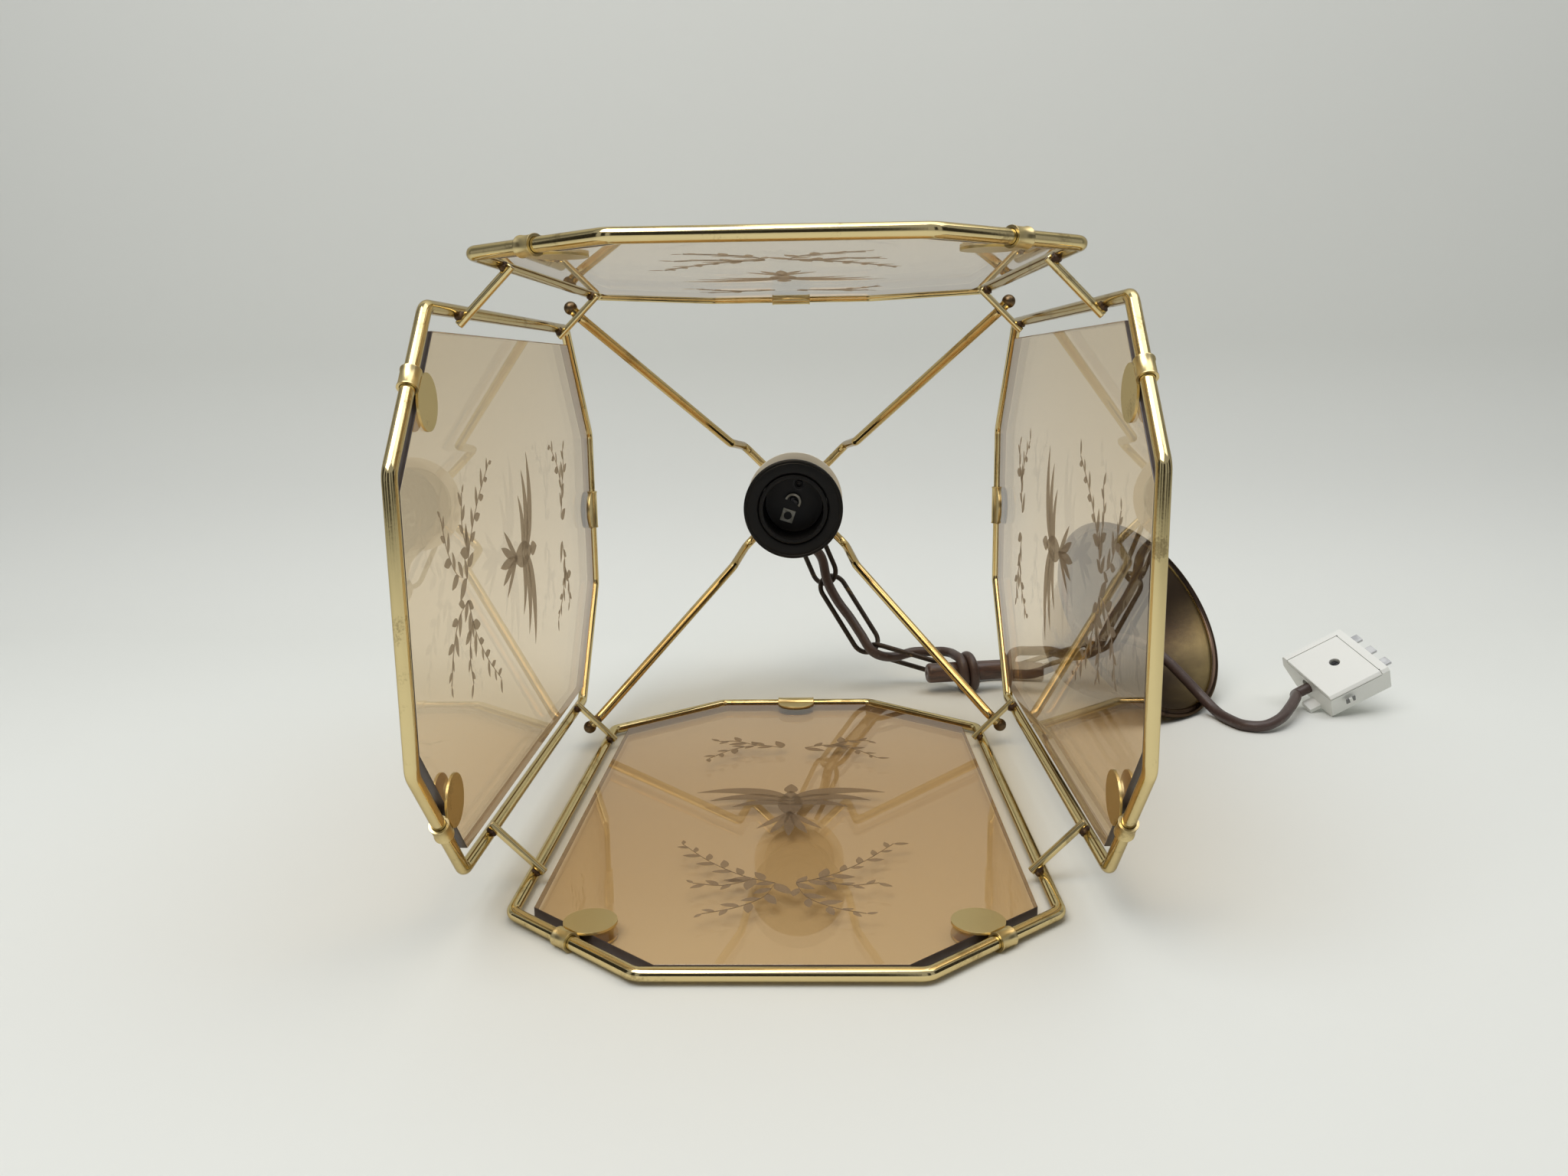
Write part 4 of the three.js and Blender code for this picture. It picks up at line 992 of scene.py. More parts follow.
# Edges of a pane that face the mouth, in the order of its outline
MOUTH_EDGES = (0, 6, 7)
# Where the mouth clips sit, as a share of the chamfer from the mouth rod
MOUTH_CLIP_SHARE = 0.54


# Route of the cord: places from the lantern's axis, the same as the solid's

KEEPER_TURN = math.radians(10)
KEEPER_AXIS = Vector((math.cos(KEEPER_TURN), math.sin(KEEPER_TURN), 0))
KEEPER_FRONT = Vector((KEEPER_AXIS.y, -KEEPER_AXIS.x, 0))
KEEPER_START_XY = (0.081, 0.352)
WRAP_PLACE = 0.02
WRAP_TURNS = 1.5
FLOOR_Z = -AXIS_ORIGIN.z

CANOPY_HEADING = math.radians(-48.4)
CANOPY_TILT = math.radians(34.1)
CANOPY_AXIS = Vector((
    math.cos(CANOPY_TILT) * math.cos(CANOPY_HEADING),
    math.cos(CANOPY_TILT) * math.sin(CANOPY_HEADING),
    math.sin(CANOPY_TILT),
))
CANOPY_XY = (0.2051, 0.3219)
REST_GAP = 0.0001

# Wall of the canopy from the neck to the bead: shares of its spread and of its height
CANOPY_WALL_SHARES = [
    (0, 1), (0.1, 0.985), (0.2, 0.94), (0.36, 0.8), (0.52, 0.6), (0.68, 0.4), (0.85, 0.2), (0.95, 0.08),
]

LAMP_CORD = [
    (0, 0.38165, -0.012), (0, 0.38165, -0.0185), (0.0054, 0.3818, -0.0275),
    (0.0158, 0.3813, -0.0389), (0.0198, 0.3786, -0.0546), (0.0262, 0.3749, -0.0667),
    (0.0339, 0.3708, -0.0768), (0.0406, 0.3653, -0.0864), (0.048, 0.3606, -0.0968),
    (0.06, 0.3674, -0.102), (0.0748, 0.3713, -0.0997), (0.086, 0.372, -0.0998),
    (0.093, 0.3706, -0.0994),
]
FLOOR_CORD = [
    (0.1106, 0.372, -0.1182), (0.1165, 0.3785, -0.118), (0.127, 0.382, -0.1178),
    (0.139, 0.3815, -0.1175), (0.1505, 0.3785, -0.1168),
]
CANOPY_CORD_BEHIND = (0.079, 0.07, 0.058, 0.046)
OUTER_CORD = [
    (0.191, 0.3385, -0.084), (0.204, 0.3285, -0.084), (0.217, 0.3195, -0.0915),
    (0.2275, 0.312, -0.102), (0.2355, 0.3053, -0.111), (0.2415, 0.295, -0.1175),
    (0.2445, 0.282, -0.1184), (0.249, 0.2715, -0.1184), (0.258, 0.268, -0.1178),
    (0.2685, 0.273, -0.1155), (0.279, 0.2855, -0.1125), (0.2875, 0.299, -0.1105),
]
# Where the cord enters the plug's side: across it, and down from its face
PLUG_ENTRY = (0.0005, -0.0074)
# Heading, pitch and roll of the plug, in degrees
PLUG_TURNS = ((8.2, "Z"), (-24.7, "Y"), (21.5, "X"))

# Headings of the chain's links, and the roll of each about its heading
CHAIN_HEADINGS = [(0.39, -0.206, -0.896), (0.514, -0.299, -0.804), (0.956, -0.048, -0.285)]
CHAIN_ROLLS = [30, -35, 55]


def canopy_wall(c):
    spread = c.radius - c.bead - c.neck
    return [(c.neck + spread * out, c.height * back) for out, back in CANOPY_WALL_SHARES]


def canopy_centre(c):
    reach = max(radius * math.cos(CANOPY_TILT) + behind * math.sin(CANOPY_TILT)
                for radius, behind in canopy_wall(c))
    return Vector((*CANOPY_XY, FLOOR_Z + REST_GAP + reach))


def wrap_points(c):
    """The turns round the keeper, with a straight diameter at each end."""
    radius = c.keeper + SEAT_GAP + c.diameter / 2
    height = FLOOR_Z + SEAT_GAP + c.diameter / 2 + radius
    points = []
    steps = int(WRAP_TURNS * c.steps)
    for i in range(steps + 1):
        turns = i / c.steps
        angle = 2 * math.pi * turns
        point = Vector((*KEEPER_START_XY, height)) + KEEPER_AXIS * (WRAP_PLACE + c.pitch * turns)
        point += KEEPER_FRONT * (radius * math.sin(angle))
        point.z += radius * math.cos(angle)
        points.append(point)
    lead = points[0] - points[1]
    tail = points[-1] - points[-2]
    lead.z = tail.z = 0
    points.insert(0, points[0] + lead.normalized() * c.diameter)
    points.append(points[-1] + tail.normalized() * c.diameter)
    return points


def plug_frame():
    """Placement of the plug: X out with the blades, Z out of its face, from its solid's corners."""
    heading, pitch, roll = (Matrix.Rotation(math.radians(angle), 3, axis) for angle, axis in PLUG_TURNS)
    turn = heading @ pitch @ roll
    solid = frame["nodes"]["plug_lid"].data
    local = [turn.transposed() @ v.co for v in solid.vertices]
    low = [min(v[i] for v in local) for i in range(3)]
    high = [max(v[i] for v in local) for i in range(3)]
    centre = turn @ Vector(((low[0] + high[0]) / 2, (low[1] + high[1]) / 2, high[2]))
    return centre, turn


def smooth_path(points, step=0.0012):
    """Centripetal curve through the points, sampled at about the step."""
    ends = [points[0] * 2 - points[1]] + points + [points[-1] * 2 - points[-2]]
    path = [points[0]]
    for p0, p1, p2, p3 in zip(ends, ends[1:], ends[2:], ends[3:]):
        t1 = (p1 - p0).length ** 0.5
        t2 = t1 + (p2 - p1).length ** 0.5
        t3 = t2 + (p3 - p2).length ** 0.5
        count = max(2, int((p2 - p1).length / step))
        for i in range(1, count + 1):
            t = t1 + (t2 - t1) * i / count
            a1 = p0 * ((t1 - t) / t1) + p1 * (t / t1)
            a2 = p1 * ((t2 - t) / (t2 - t1)) + p2 * ((t - t1) / (t2 - t1))
            a3 = p2 * ((t3 - t) / (t3 - t2)) + p3 * ((t - t2) / (t3 - t2))
            b1 = a1 * ((t2 - t) / t2) + a2 * (t / t2)
            b2 = a2 * ((t3 - t) / (t3 - t1)) + a3 * ((t - t1) / (t3 - t1))
            path.append(b1 * ((t2 - t) / (t2 - t1)) + b2 * ((t - t1) / (t2 - t1)))
    return path


def tube_along(path, radius, sides=20):
    """A round tube along a path, with its section carried on without twist, closed at its ends."""
    shape = bmesh.new()
    rings = []
    tangent = (path[1] - path[0]).normalized()
    normal = tangent.orthogonal().normalized()
    for i, point in enumerate(path):
        ahead = path[min(i + 1, len(path) - 1)] - path[max(i - 1, 0)]
        turned = ahead.normalized()
        normal = tangent.rotation_difference(turned) @ normal
        tangent = turned
        side = tangent.cross(normal)
        rings.append([shape.verts.new(point + (normal * math.cos(a) + side * math.sin(a)) * radius)
                      for a in (2 * math.pi * k / sides for k in range(sides))])
    for here, there in zip(rings, rings[1:]):
        for k in range(sides):
            j = (k + 1) % sides
            shape.faces.new((here[k], here[j], there[j], there[k]))
    shape.faces.new(rings[0][::-1])
    shape.faces.new(rings[-1])
    bmesh.ops.recalc_face_normals(shape, faces=shape.faces)
    return mesh_from(shape)


# Operators


# The camera, solved from the photograph: its place from the lantern's axis, its axes, and its lens
# in millimetres
CAMERA_PLACE = (0.01296, -0.35517, 0.07829)
CAMERA_RIGHT = Vector((0.99957, 0.02586, -0.01399))
CAMERA_UP = Vector((0.009, 0.18394, 0.9829))
CAMERA_FORWARD = Vector((-0.028, 0.9826, -0.18363))
CAMERA_LENS = 26.77

# Name, place, aim, power in watts and width of each lamp
LAMPS = (
    ("key_light", (-0.5, -0.7, 1.5), (0, 0, 0.1), 16.8, 1.1),
    ("top_light", (0.5, 0.1, 1.6), (0, 0.1, 0), 11.0, 1.4),
)

# Heading in degrees and half width of each dark card round the table
CARDS = ((-78, 0.42), (-40, 0.26), (-6, 0.4), (33, 0.2), (70, 0.5))


class LANTERN_OT_stage(bpy.types.Operator):
    """Make the floor with its backdrop, the lights and the camera"""
    bl_idname = "lantern.stage"
    bl_label = "Studio"

    def execute(self, context):
        scene = context.scene
        scene.view_settings.view_transform = "Standard"
        self.floor(floor_look(tuple(sizes(context, "finish").floor)))
        self.cards()
        scene.world = self.sky()
        for name, place, aim, power, width in LAMPS:
            lamp = bpy.data.lights.new(name, "AREA")
            lamp.energy = power
            lamp.size = width
            source = bpy.data.objects.new(name, lamp)
            source.location = place
            source.rotation_euler = (Vector(aim) - Vector(place)).to_track_quat("-Z", "Y").to_euler()
            scene.collection.objects.link(source)

        camera = bpy.data.objects.new("camera", bpy.data.cameras.new("camera"))
        scene.collection.objects.link(camera)
        camera.data.sensor_width = 36.0
        camera.data.lens = CAMERA_LENS
        camera.data.clip_start = 0.01
        turn = Matrix((CAMERA_RIGHT, CAMERA_UP, -CAMERA_FORWARD)).transposed().to_4x4()
        camera.matrix_world = Matrix.Translation(row(*CAMERA_PLACE)) @ turn
        scene.camera = camera
        return {"FINISHED"}

    def floor(self, look):
        """A wide sheet that curves up into a backdrop behind the lantern."""
        front, back, half, height = -3.0, 0.33, 3.5, 2.4
        curve, steps = 0.22, 16
        profile = [(front, 0.0), (back, 0.0)]
        for step in range(1, steps + 1):
            angle = math.pi / 2 * step / steps
            profile.append((back + curve * math.sin(angle), curve * (1 - math.cos(angle))))
        profile.append((back + curve, height))
        verts = [(x, y, z) for y, z in profile for x in (-half, half)]
        faces = [(2 * i, 2 * i + 1, 2 * i + 3, 2 * i + 2) for i in range(len(profile) - 1)]
        mesh = bpy.data.meshes.new("studio_floor")
        mesh.from_pydata(verts, [], faces)
        return piece_from("studio_floor", mesh, look)

    def sky(self):
        """Soft light from all round, which the camera, metal and glass see as a pale backdrop."""
        light, pale = 0.225, 0.4
        sky = Look("studio_world", "World")
        seen = sky.rays("Is Camera Ray", "Is Glossy Ray", "Is Transmission Ray")
        return sky.done(sky.node("ShaderNodeBackground", {}, {
            "Color": (0.93, 0.96, 1.0), "Strength": seen * (pale - light) + light}))

    def cards(self):
        """Dark cards in front of the table, which draw the dark lines along the polished rods.

        The camera itself doesn't see them.
        """
        radius, height = 1.9, 0.62
        shape = bmesh.new()
        for heading, half in CARDS:
            turn = Matrix.Rotation(math.radians(heading), 4, "Z")
            upright = Matrix.Rotation(math.pi / 2, 4, "X") @ Matrix.Diagonal((half, height, 1.0, 1.0))
            bmesh.ops.create_grid(shape, x_segments=1, y_segments=1, size=1.0,
                                  matrix=turn @ Matrix.Translation((0, -radius, height)) @ upright)
        dark = Look("dark_card")
        black = dark.surface(base_color=(0.03, 0.026, 0.022), roughness=0.9)
        return piece_from("dark_cards", shape, dark.done(
            dark.blend(dark.rays("Is Camera Ray"), black, dark.clear())))


class LANTERN_OT_frames(bpy.types.Operator):
    """Make the four brass rod frames, the struts between them and the solder at their joints"""
    bl_idname = "lantern.frames"
    bl_label = "Frames and struts"

    def execute(self, context):
        p = sizes(context, "panels")
        for index, name in enumerate(PANELS):
            place = quarter(index)
            points = [place @ Vector((x, y, p.plane)) for x, y in panel_corners(p)]
            shape = rod(points, p.rod, "brass", p.bend, closed=True, sides=32)
            finish(f"rod_frame_{name}", shape, "brass", "lantern", "brass_rod", f"frame_{name}")

        seat = strut_seat(p)
        half = (p.plane - p.side) / math.sqrt(2) + p.strut_over
        crown_y = p.length - p.strut_crown
        joints = []
        for index, name in enumerate(CORNERS):
            place = quarter(index, math.pi / 4)
            for level, y in (("mouth", p.strut_mouth), ("crown", crown_y)):
                ends = [place @ Vector((x, y, seat)) for x in (-half, half)]
                finish(f"short_strut_{level}_{name}", rod(ends, p.strut, "brass"), "brass", "lantern",
                       "brass_rod", f"strut_{level}_{name}", edge=0.0003)
                for side in (-1, 1):
                    joints.append(place @ Vector((side * (half - p.strut_over), y, seat + p.strut * 0.6)))
            joints.append(place @ Vector((0, crown_y + p.strut * 0.8, seat)))
        lumps = grow("blob", joints, [], "solder", Diameter=p.solder, Unevenness=0.6, Seed=4)
        finish("solder_blobs", lumps, "", "lantern", "brass_rod")
        return {"FINISHED"}


class LANTERN_OT_panes(bpy.types.Operator):
    """Make the four panes of bronze glass with their etched decor"""
    bl_idname = "lantern.panes"
    bl_label = "Glass panes"

    def execute(self, context):
        p = sizes(context, "panels")
        outline = pane_outline(p)
        decor = self.decor()
        for index, name in enumerate(PANELS):
            place = quarter(index) @ Matrix.Translation((0, 0, p.plane))
            place = place @ Matrix.Rotation(math.asin(p.lean_out / p.length), 4, "X")
            shape = bmesh.new()
            faces = add_prism(shape, outline, -p.glass / 2, p.glass / 2, place)
            # Mouth edges dark; the other edges amber, darkened as a painted shadow beside the rods
            for edge, face in enumerate(faces[2:]):
                face.material_index = 1 if edge in MOUTH_EDGES else 2
            finish(f"pane_{name}", shape, "glass edge amber_edge", "lantern", "smoked_glass",
                   f"glass_{name}", edge=0.0004)
            mesh = decor.copy()
            mesh.transform(place @ Matrix.Translation((0, 0, -p.glass / 2 - DECOR_LIFT)))
            finish(f"etching_{name}", mesh, "etching", "lantern", "smoked_glass")
        return {"FINISHED"}

    def decor(self):
        """A bird between leafy sprays, flat on the pane's inner face and facing in."""
        shape = bmesh.new()
        for start, bend, end, width, belly in BIRD_SHARES:
            for side in ((1, -1) if end[0] else (1,)):
                spine = [Vector((side * x * BIRD_SPAN, BIRD_Y + y * BIRD_SPAN))
                         for x, y in (start, bend, end)]
                add_blade(shape, *spine, width * BIRD_SPAN, belly=belly, steps=16)
        leaf_shape = bmesh.new()
        add_blade(leaf_shape, (0, 0), LEAF_BEND, LEAF_TIP, LEAF_WIDTH, belly=0.45)
        leaf = bpy.data.objects.new("leaf", mesh_from(leaf_shape))
        bpy.context.scene.collection.objects.link(leaf)
        verts, edges = [], []
        for side in (1, -1):
            for stem in SPRAY_STEMS:
                path = smooth_path([Vector((side * x, y, 0)) for x, y in stem], 0.002)
                edges += [(len(verts) + i, len(verts) + i + 1) for i in range(len(path) - 1)]
                verts += path
        shape.from_mesh(grow("leaf", verts, edges, "etching", Leaf=leaf, Spacing=LEAF_SPACING,
                             Spread=0.7, Stem_width=STEM_WIDTH, Seed=2))
        bpy.data.objects.remove(leaf)
        for face in shape.faces:
            face.normal_update()
            if face.normal.z > 0:
                face.normal_flip()
            face.material_index = 0
        return mesh_from(shape)


class LANTERN_OT_clips(bpy.types.Operator):
    """Make the brass clips that hold the panes in their frames"""
    bl_idname = "lantern.clips"
    bl_label = "Pane clips"

    def execute(self, context):
        p = sizes(context, "panels")
        c = sizes(context, "clips")
        start, end = Vector((p.mouth, 0, 0)), Vector((p.side, p.mouth_chamfer, 0))
        slope = math.atan2(end.y - start.y, end.x - start.x)
        spot = start.lerp(end, MOUTH_CLIP_SHARE)
        mouth = Matrix.Translation(spot) @ Matrix.Rotation(slope, 4, "Z")
        shift = p.lean_out * (spot.y + c.mouth_reach) / p.length
        over = Matrix.Rotation(math.pi, 4, "Y")
        crown = Matrix.Translation((0, p.length, 0)) @ Matrix.Rotation(math.pi, 4, "Z")
        disc = (c.mouth_length, c.mouth_disc / 2, c.mouth_reach)
        half_disc = (c.crown_length, c.crown_length / 2, c.crown_reach)
        for index, name in enumerate(PANELS):
            panel = quarter(index) @ Matrix.Translation((0, 0, p.plane))
            for end_name, place, size in (
                ("mouth_a", mouth, (*disc, shift)),
                ("mouth_b", over @ mouth, (*disc, -shift)),
                ("crown", crown, (*half_disc, p.lean_out)),
            ):
                finish(f"pane_clip_{name}_{end_name}", self.clip(panel @ place, p, c, *size), "clip",
                       "lantern", "brass_rod", f"clip_{name}_{end_name}", edge=c.edge, angle=40.0)
        return {"FINISHED"}

    def clip(self, place, p, c, run, radius, reach, shift):
        """A sleeve with rolled ends on the rod, and a round-ended plate on either side of the glass."""
        inner = p.rod / 2 + SEAT_GAP / 2
        outer = p.rod / 2 + SEAT_GAP + c.wall
        roll = c.wall * 0.6
        shape = bmesh.new()
        half = run / 2
        sleeve = [(inner, -half), (outer, -half), (outer, roll - half), (outer - roll / 2, 2 * roll - half),
                  (outer - roll / 2, half - 2 * roll), (outer, half - roll), (outer, half), (inner, half)]
        add_lathe(shape, sleeve, place @ Matrix.Rotation(math.pi / 2, 4, "Y"), 40)
        shoulder = math.degrees(math.acos(min(1.0, half / radius)))
        rounded = [(x, reach + y) for x, y in arc(radius, -shoulder, 180 + shoulder, 32)]
        flat = p.glass / 2 + SEAT_GAP / 6
        for side in (1, -1):
            near = flat + side * shift
            far = min(near + c.plate, outer)
            root = math.sqrt(outer ** 2 - near ** 2) - c.wall / 2
            outline = [(-half, root), (half, root)] + rounded
            add_prism(shape, outline, *sorted((side * near, side * far)), place)
        return shape


class LANTERN_OT_crown(bpy.types.Operator):
    """Make the arms, the cap over the lampholder, the hub and the hanging loop"""
    bl_idname = "lantern.crown"
    bl_label = "Arms, cap and loop"

    def execute(self, context):
        p = sizes(context, "panels")
        c = sizes(context, "crown")
        rim_y, floor_y, hub_y, middle_y, foot_y = hub_places(p, c)
        back = along((0, 1, 0), row(0, 0, 0))
        self.arms(p, c, middle_y)
        self.cap(c, rim_y, floor_y, back)
        self.hub(c, hub_y, middle_y, back)

        centre_y = foot_y + c.loop_wire + c.loop
        circle = [row(0, centre_y + y, z) for y, z in arc(c.loop + c.loop_wire / 2, 0, 360, 72)[:-1]]
        shape = rod(circle, c.loop_wire, "brass", closed=True)
        top_y = foot_y + c.foot_height
        foot = [(0, foot_y), (c.foot, foot_y), (c.foot, top_y), (0, top_y)]
        add_lathe(shape, soften(foot, 0.0005), back, 48)
        finish("ring_loop", shape, "brass", "lantern", "brass_rod", "hanging_loop")

        for node, name in (("nipple", "threaded_nipple"), ("nipple_nut", "hex_nut")):
            finish(name, copy_of(node), "steel", "lantern", "steel", node, edge=0.0003)
        return {"FINISHED"}

    def arms(self, p, c, middle_y):
        """A bent rod from the hub to each crown strut, with a scorched ball at its end."""
        seat = strut_seat(p)
        rest_y = p.length - p.strut_crown + p.strut / 2 + c.arm / 2 + SEAT_GAP
        last_bend = seat - 0.002
        corners = [(middle_y, c.hub + SEAT_GAP), (middle_y, c.elbow), (middle_y - c.knee_ahead, c.knee),
                   (rest_y, last_bend), (rest_y, seat + c.ball_over)]
        for index, name in enumerate(CORNERS):
            place = quarter(index, math.pi / 4)
            points = [place @ Vector((0, y, z)) for y, z in corners]
            shape = rod(points, c.arm, "arm", c.arm_bend, sides=28, steps=10)
            add_ball(shape, points[-1], c.ball / 2, index=1)
            finish(f"bent_arm_{name}", shape, "arm scorched", "lantern", "brass_rod", f"arm_{name}")

    def cap(self, c, rim_y, floor_y, back):
        """The stepped cap, with a flat rim round the lampholder."""
        lip = c.cap_wall
        step = (c.cap_rim - c.cap_floor) / 4
        mouth = c.cap_floor + SEAT_GAP * 2
        step_y = rim_y + c.cap_depth / 3
        shape = bmesh.new()
        add_lathe(shape, soften([
            (c.bore, floor_y), (c.cap_floor, floor_y), (c.cap_rim - lip - step, step_y),
            (c.cap_rim - lip, rim_y + lip), (mouth, rim_y + lip), (mouth, rim_y), (c.cap_rim, rim_y),
            (c.cap_rim - step, step_y), (c.cap_floor + lip, floor_y + lip / 2),
            (c.cap_floor, floor_y + lip), (c.bore, floor_y + lip),
        ], 0.0006), back)
        finish("cap", shape, "pale", "lantern", "pale_brass", "gallery_cap")

    def hub(self, c, hub_y, middle_y, back):
        """The hub, bored for the nipple, and the outlet for the cord in its side."""
        shape = bmesh.new()
        recess_y, end_y = hub_y + c.hub_recess, hub_y + c.hub_length
        add_lathe(shape, soften([(c.bore, hub_y), (c.hub, hub_y), (c.hub, end_y), (0, end_y),
                                 (0, recess_y), (c.bore, recess_y)], 0.0008), back)
        root, lip = c.hub * 0.7, 0.0006
        add_lathe(shape, soften([
            (c.outlet_bore, root), (c.outlet, root), (c.outlet, c.outlet_reach - lip),
            (c.outlet + lip * 2 / 3, c.outlet_reach), (c.outlet_bore, c.outlet_reach),
        ], lip / 2), along((0, 0, -1), row(0, middle_y, 0)), 48)
        finish("hub_with_outlet", shape, "brass", "lantern", "brass_rod", "hub")


# Places of the centre contact, the side contact and the terminal screw, across and up from the axis
CENTRE_CONTACT = (-0.0007, 0.0025)
SIDE_CONTACT = (-0.0039, -0.0071)
TERMINAL_SCREW = (0.003, 0.0117)


class LANTERN_OT_lampholder(bpy.types.Operator):
    """Make the lampholder with its shade ring, insert and contacts"""
    bl_idname = "lantern.lampholder"
    bl_label = "Lampholder"

    def execute(self, context):
        h = sizes(context, "lampholder")
        back = along((0, 1, 0), row(0, 0, 0))
        cover_y = HOLDER_MOUTH_Y + h.length - h.cover
        inner = h.bore + h.wall + SEAT_GAP
        self.shell(h, cover_y + h.overlap, back)
        self.cover(h, cover_y, inner, sizes(context, "crown").bore, back)
        self.shade_ring(h, inner, back)

        face_y = HOLDER_MOUTH_Y + h.insert
        shape = copy_of("lampholder_insert")
        add_lathe(shape, [
            (h.boss_bore, face_y - h.boss_height), (h.boss, face_y - h.boss_height),
            (h.boss, face_y + h.boss_height), (h.boss_bore, face_y + h.boss_height),
        ], self.facing(TERMINAL_SCREW), 40, index=1)
        finish("insert_block", shape, "porcelain dark_steel", "lantern", "porcelain",
               "lampholder_insert", edge=0.0004)
        c = sizes(context, "contacts")
        self.centre_contact(c, face_y - SEAT_GAP - c.lift)
        self.side_contact(c, face_y - SEAT_GAP)
        self.terminal_screw(c, face_y - SEAT_GAP)
        return {"FINISHED"}

    def facing(self, place):
        """A placement with Z into the lampholder, across and up from the axis."""
        across, up = place
        return along((0, 1, 0), row(across, 0, up))

    def shell(self, h, back_y, back):
        """The shell, with the lamp's thread in its bore."""
        outer = h.bore + h.wall
        outline = [(h.bore, HOLDER_MOUTH_Y)]
        y = HOLDER_MOUTH_Y + h.thread_start
        while y < HOLDER_MOUTH_Y + h.insert - h.thread_end:
            for depth, quarters in ((0, 0), (h.thread_depth, 1), (h.thread_depth, 2), (0, 3)):
                outline.append((h.bore + depth, y + h.thread_pitch * quarters / 4))
            y += h.thread_pitch
        outline += [(h.bore, back_y), (outer, back_y), (outer, HOLDER_MOUTH_Y)]
        shape = bmesh.new()
        add_lathe(shape, soften(outline, 0.0004, 2), back)
        finish("holder_shell", shape, "bakelite", "lantern", "bakelite", "lampholder_shell")

    def cover(self, h, cover_y, inner, bore, back):
        """The cover, with grooves round it for the grip."""
        wide = inner + h.cover_wall
        end_y = HOLDER_MOUTH_Y + h.length
        slope_y = end_y - h.cover_slope
        wall_y = end_y - h.cover_wall
        outline = [(inner, cover_y), (wide, cover_y)]
        for k in range(5):
            groove_y = cover_y + h.groove_start + k * h.groove_pitch
            for depth, share in ((0, 0), (h.groove_depth, 0.4), (h.groove_depth, 0.6), (0, 1)):
                outline.append((wide - depth, groove_y + h.groove_width * share))
        outline += [(wide, slope_y), (h.cover_back, end_y), (bore, end_y), (bore, wall_y),
                    (h.cover_back, wall_y), (inner, slope_y)]
        shape = bmesh.new()
        add_lathe(shape, soften(outline, 0.0005, 2), back)
        finish("holder_cover", shape, "bakelite", "lantern", "bakelite", "lampholder_cover")

    def shade_ring(self, h, inner, back):
        """The ring that holds a shade, with a thin line round its face."""
        groove, slope, slope_y = 0.0002, 0.0009, 0.0007
        face_y = HOLDER_MOUTH_Y + h.ring_setback
        rear_y = face_y + h.ring_thickness
        collar_y = face_y + h.ring_collar
        line = h.ring - h.ring_line
        shape = bmesh.new()
        add_lathe(shape, soften([
            (inner, face_y + groove * 3), (inner + groove * 4, face_y), (line - groove * 2, face_y),
            (line - groove, face_y + groove), (line + groove, face_y + groove),
            (line + groove * 2, face_y), (h.ring - slope, face_y), (h.ring, face_y + slope_y),
            (h.ring, rear_y), (inner + h.ring_wall, rear_y), (inner + h.ring_wall, collar_y),
            (inner, collar_y),
        ], 0.0004, 2), back, 128)
        finish("ring_for_shade", shape, "bakelite", "shade_ring", "bakelite", "shade_ring")

    def centre_contact(self, c, head_y):
        """The open spring on its stem, with the arm that carries it."""
        place = self.facing(CENTRE_CONTACT)
        front_y = head_y - c.strip / 4
        stem_y = head_y + c.stem_length
        shape = bmesh.new()
        stem = [(0, front_y), (c.stem, front_y), (c.stem, stem_y), (0, stem_y)]
        add_lathe(shape, stem, place, 24, index=1)
        tip, tip_half, arm_front, arm_back = 0.0034, 0.0012, 0.0009, 0.0003
        arm = [(-c.stem / 2, 0), (c.stem / 2, 0), (tip_half, tip), (-tip_half, tip)]
        add_prism(shape, arm, head_y - arm_front, head_y - arm_back,
                  place @ Matrix.Rotation(math.radians(-50), 4, "Z"), index=1)
        bore, rim = (arc(radius, -161, 42, 30) for radius in (c.spring_bore, c.spring))
        add_band(shape, bore, rim, head_y - c.strip * 1.5, head_y - c.strip / 2,
                 Matrix.Translation((0, 0, -c.drop)) @ place, closed=False)
        finish("spring_contact", shape, "contact dark_steel", "centre_contact", "contact_brass",
               "centre_contact", edge=c.edge)

    def side_contact(self, c, seat_y):
        """A square tab with a round hole."""
        place = self.facing(SIDE_CONTACT) @ Matrix.Rotation(math.radians(19), 4, "Z")
        hole = arc(c.tab_hole, 0, 360, 32)[:-1]
        rim = [tuple(Vector(point) / max(map(abs, point)) * c.tab) for point in hole]
        shape = bmesh.new()
        add_band(shape, hole, rim, seat_y - c.strip, seat_y, place)
        finish("side_tab", shape, "contact", "lantern", "contact_brass", "side_contact", edge=c.edge)

    def terminal_screw(self, c, seat_y):
        """A round head with a recess, on its stem."""
        place = self.facing(TERMINAL_SCREW)
        top_y = seat_y - c.screw_head
        end_y = seat_y + c.screw_length
        recess, slope = 0.0008, 0.0004
        shape = bmesh.new()
        add_lathe(shape, soften([
            (0, top_y + recess), (c.screw_recess, top_y + recess), (c.screw_recess + slope, top_y),
            (c.screw - slope / 2, top_y), (c.screw, top_y + slope), (c.screw, seat_y), (0, seat_y),
        ], slope / 2, 2), place, 40)
        stem = [(0, seat_y), (c.screw_stem, seat_y), (c.screw_stem, end_y), (0, end_y)]
        add_lathe(shape, stem, place, 24)
        finish("holder_screw", shape, "dark_steel", "lantern", "steel", "terminal_screw")


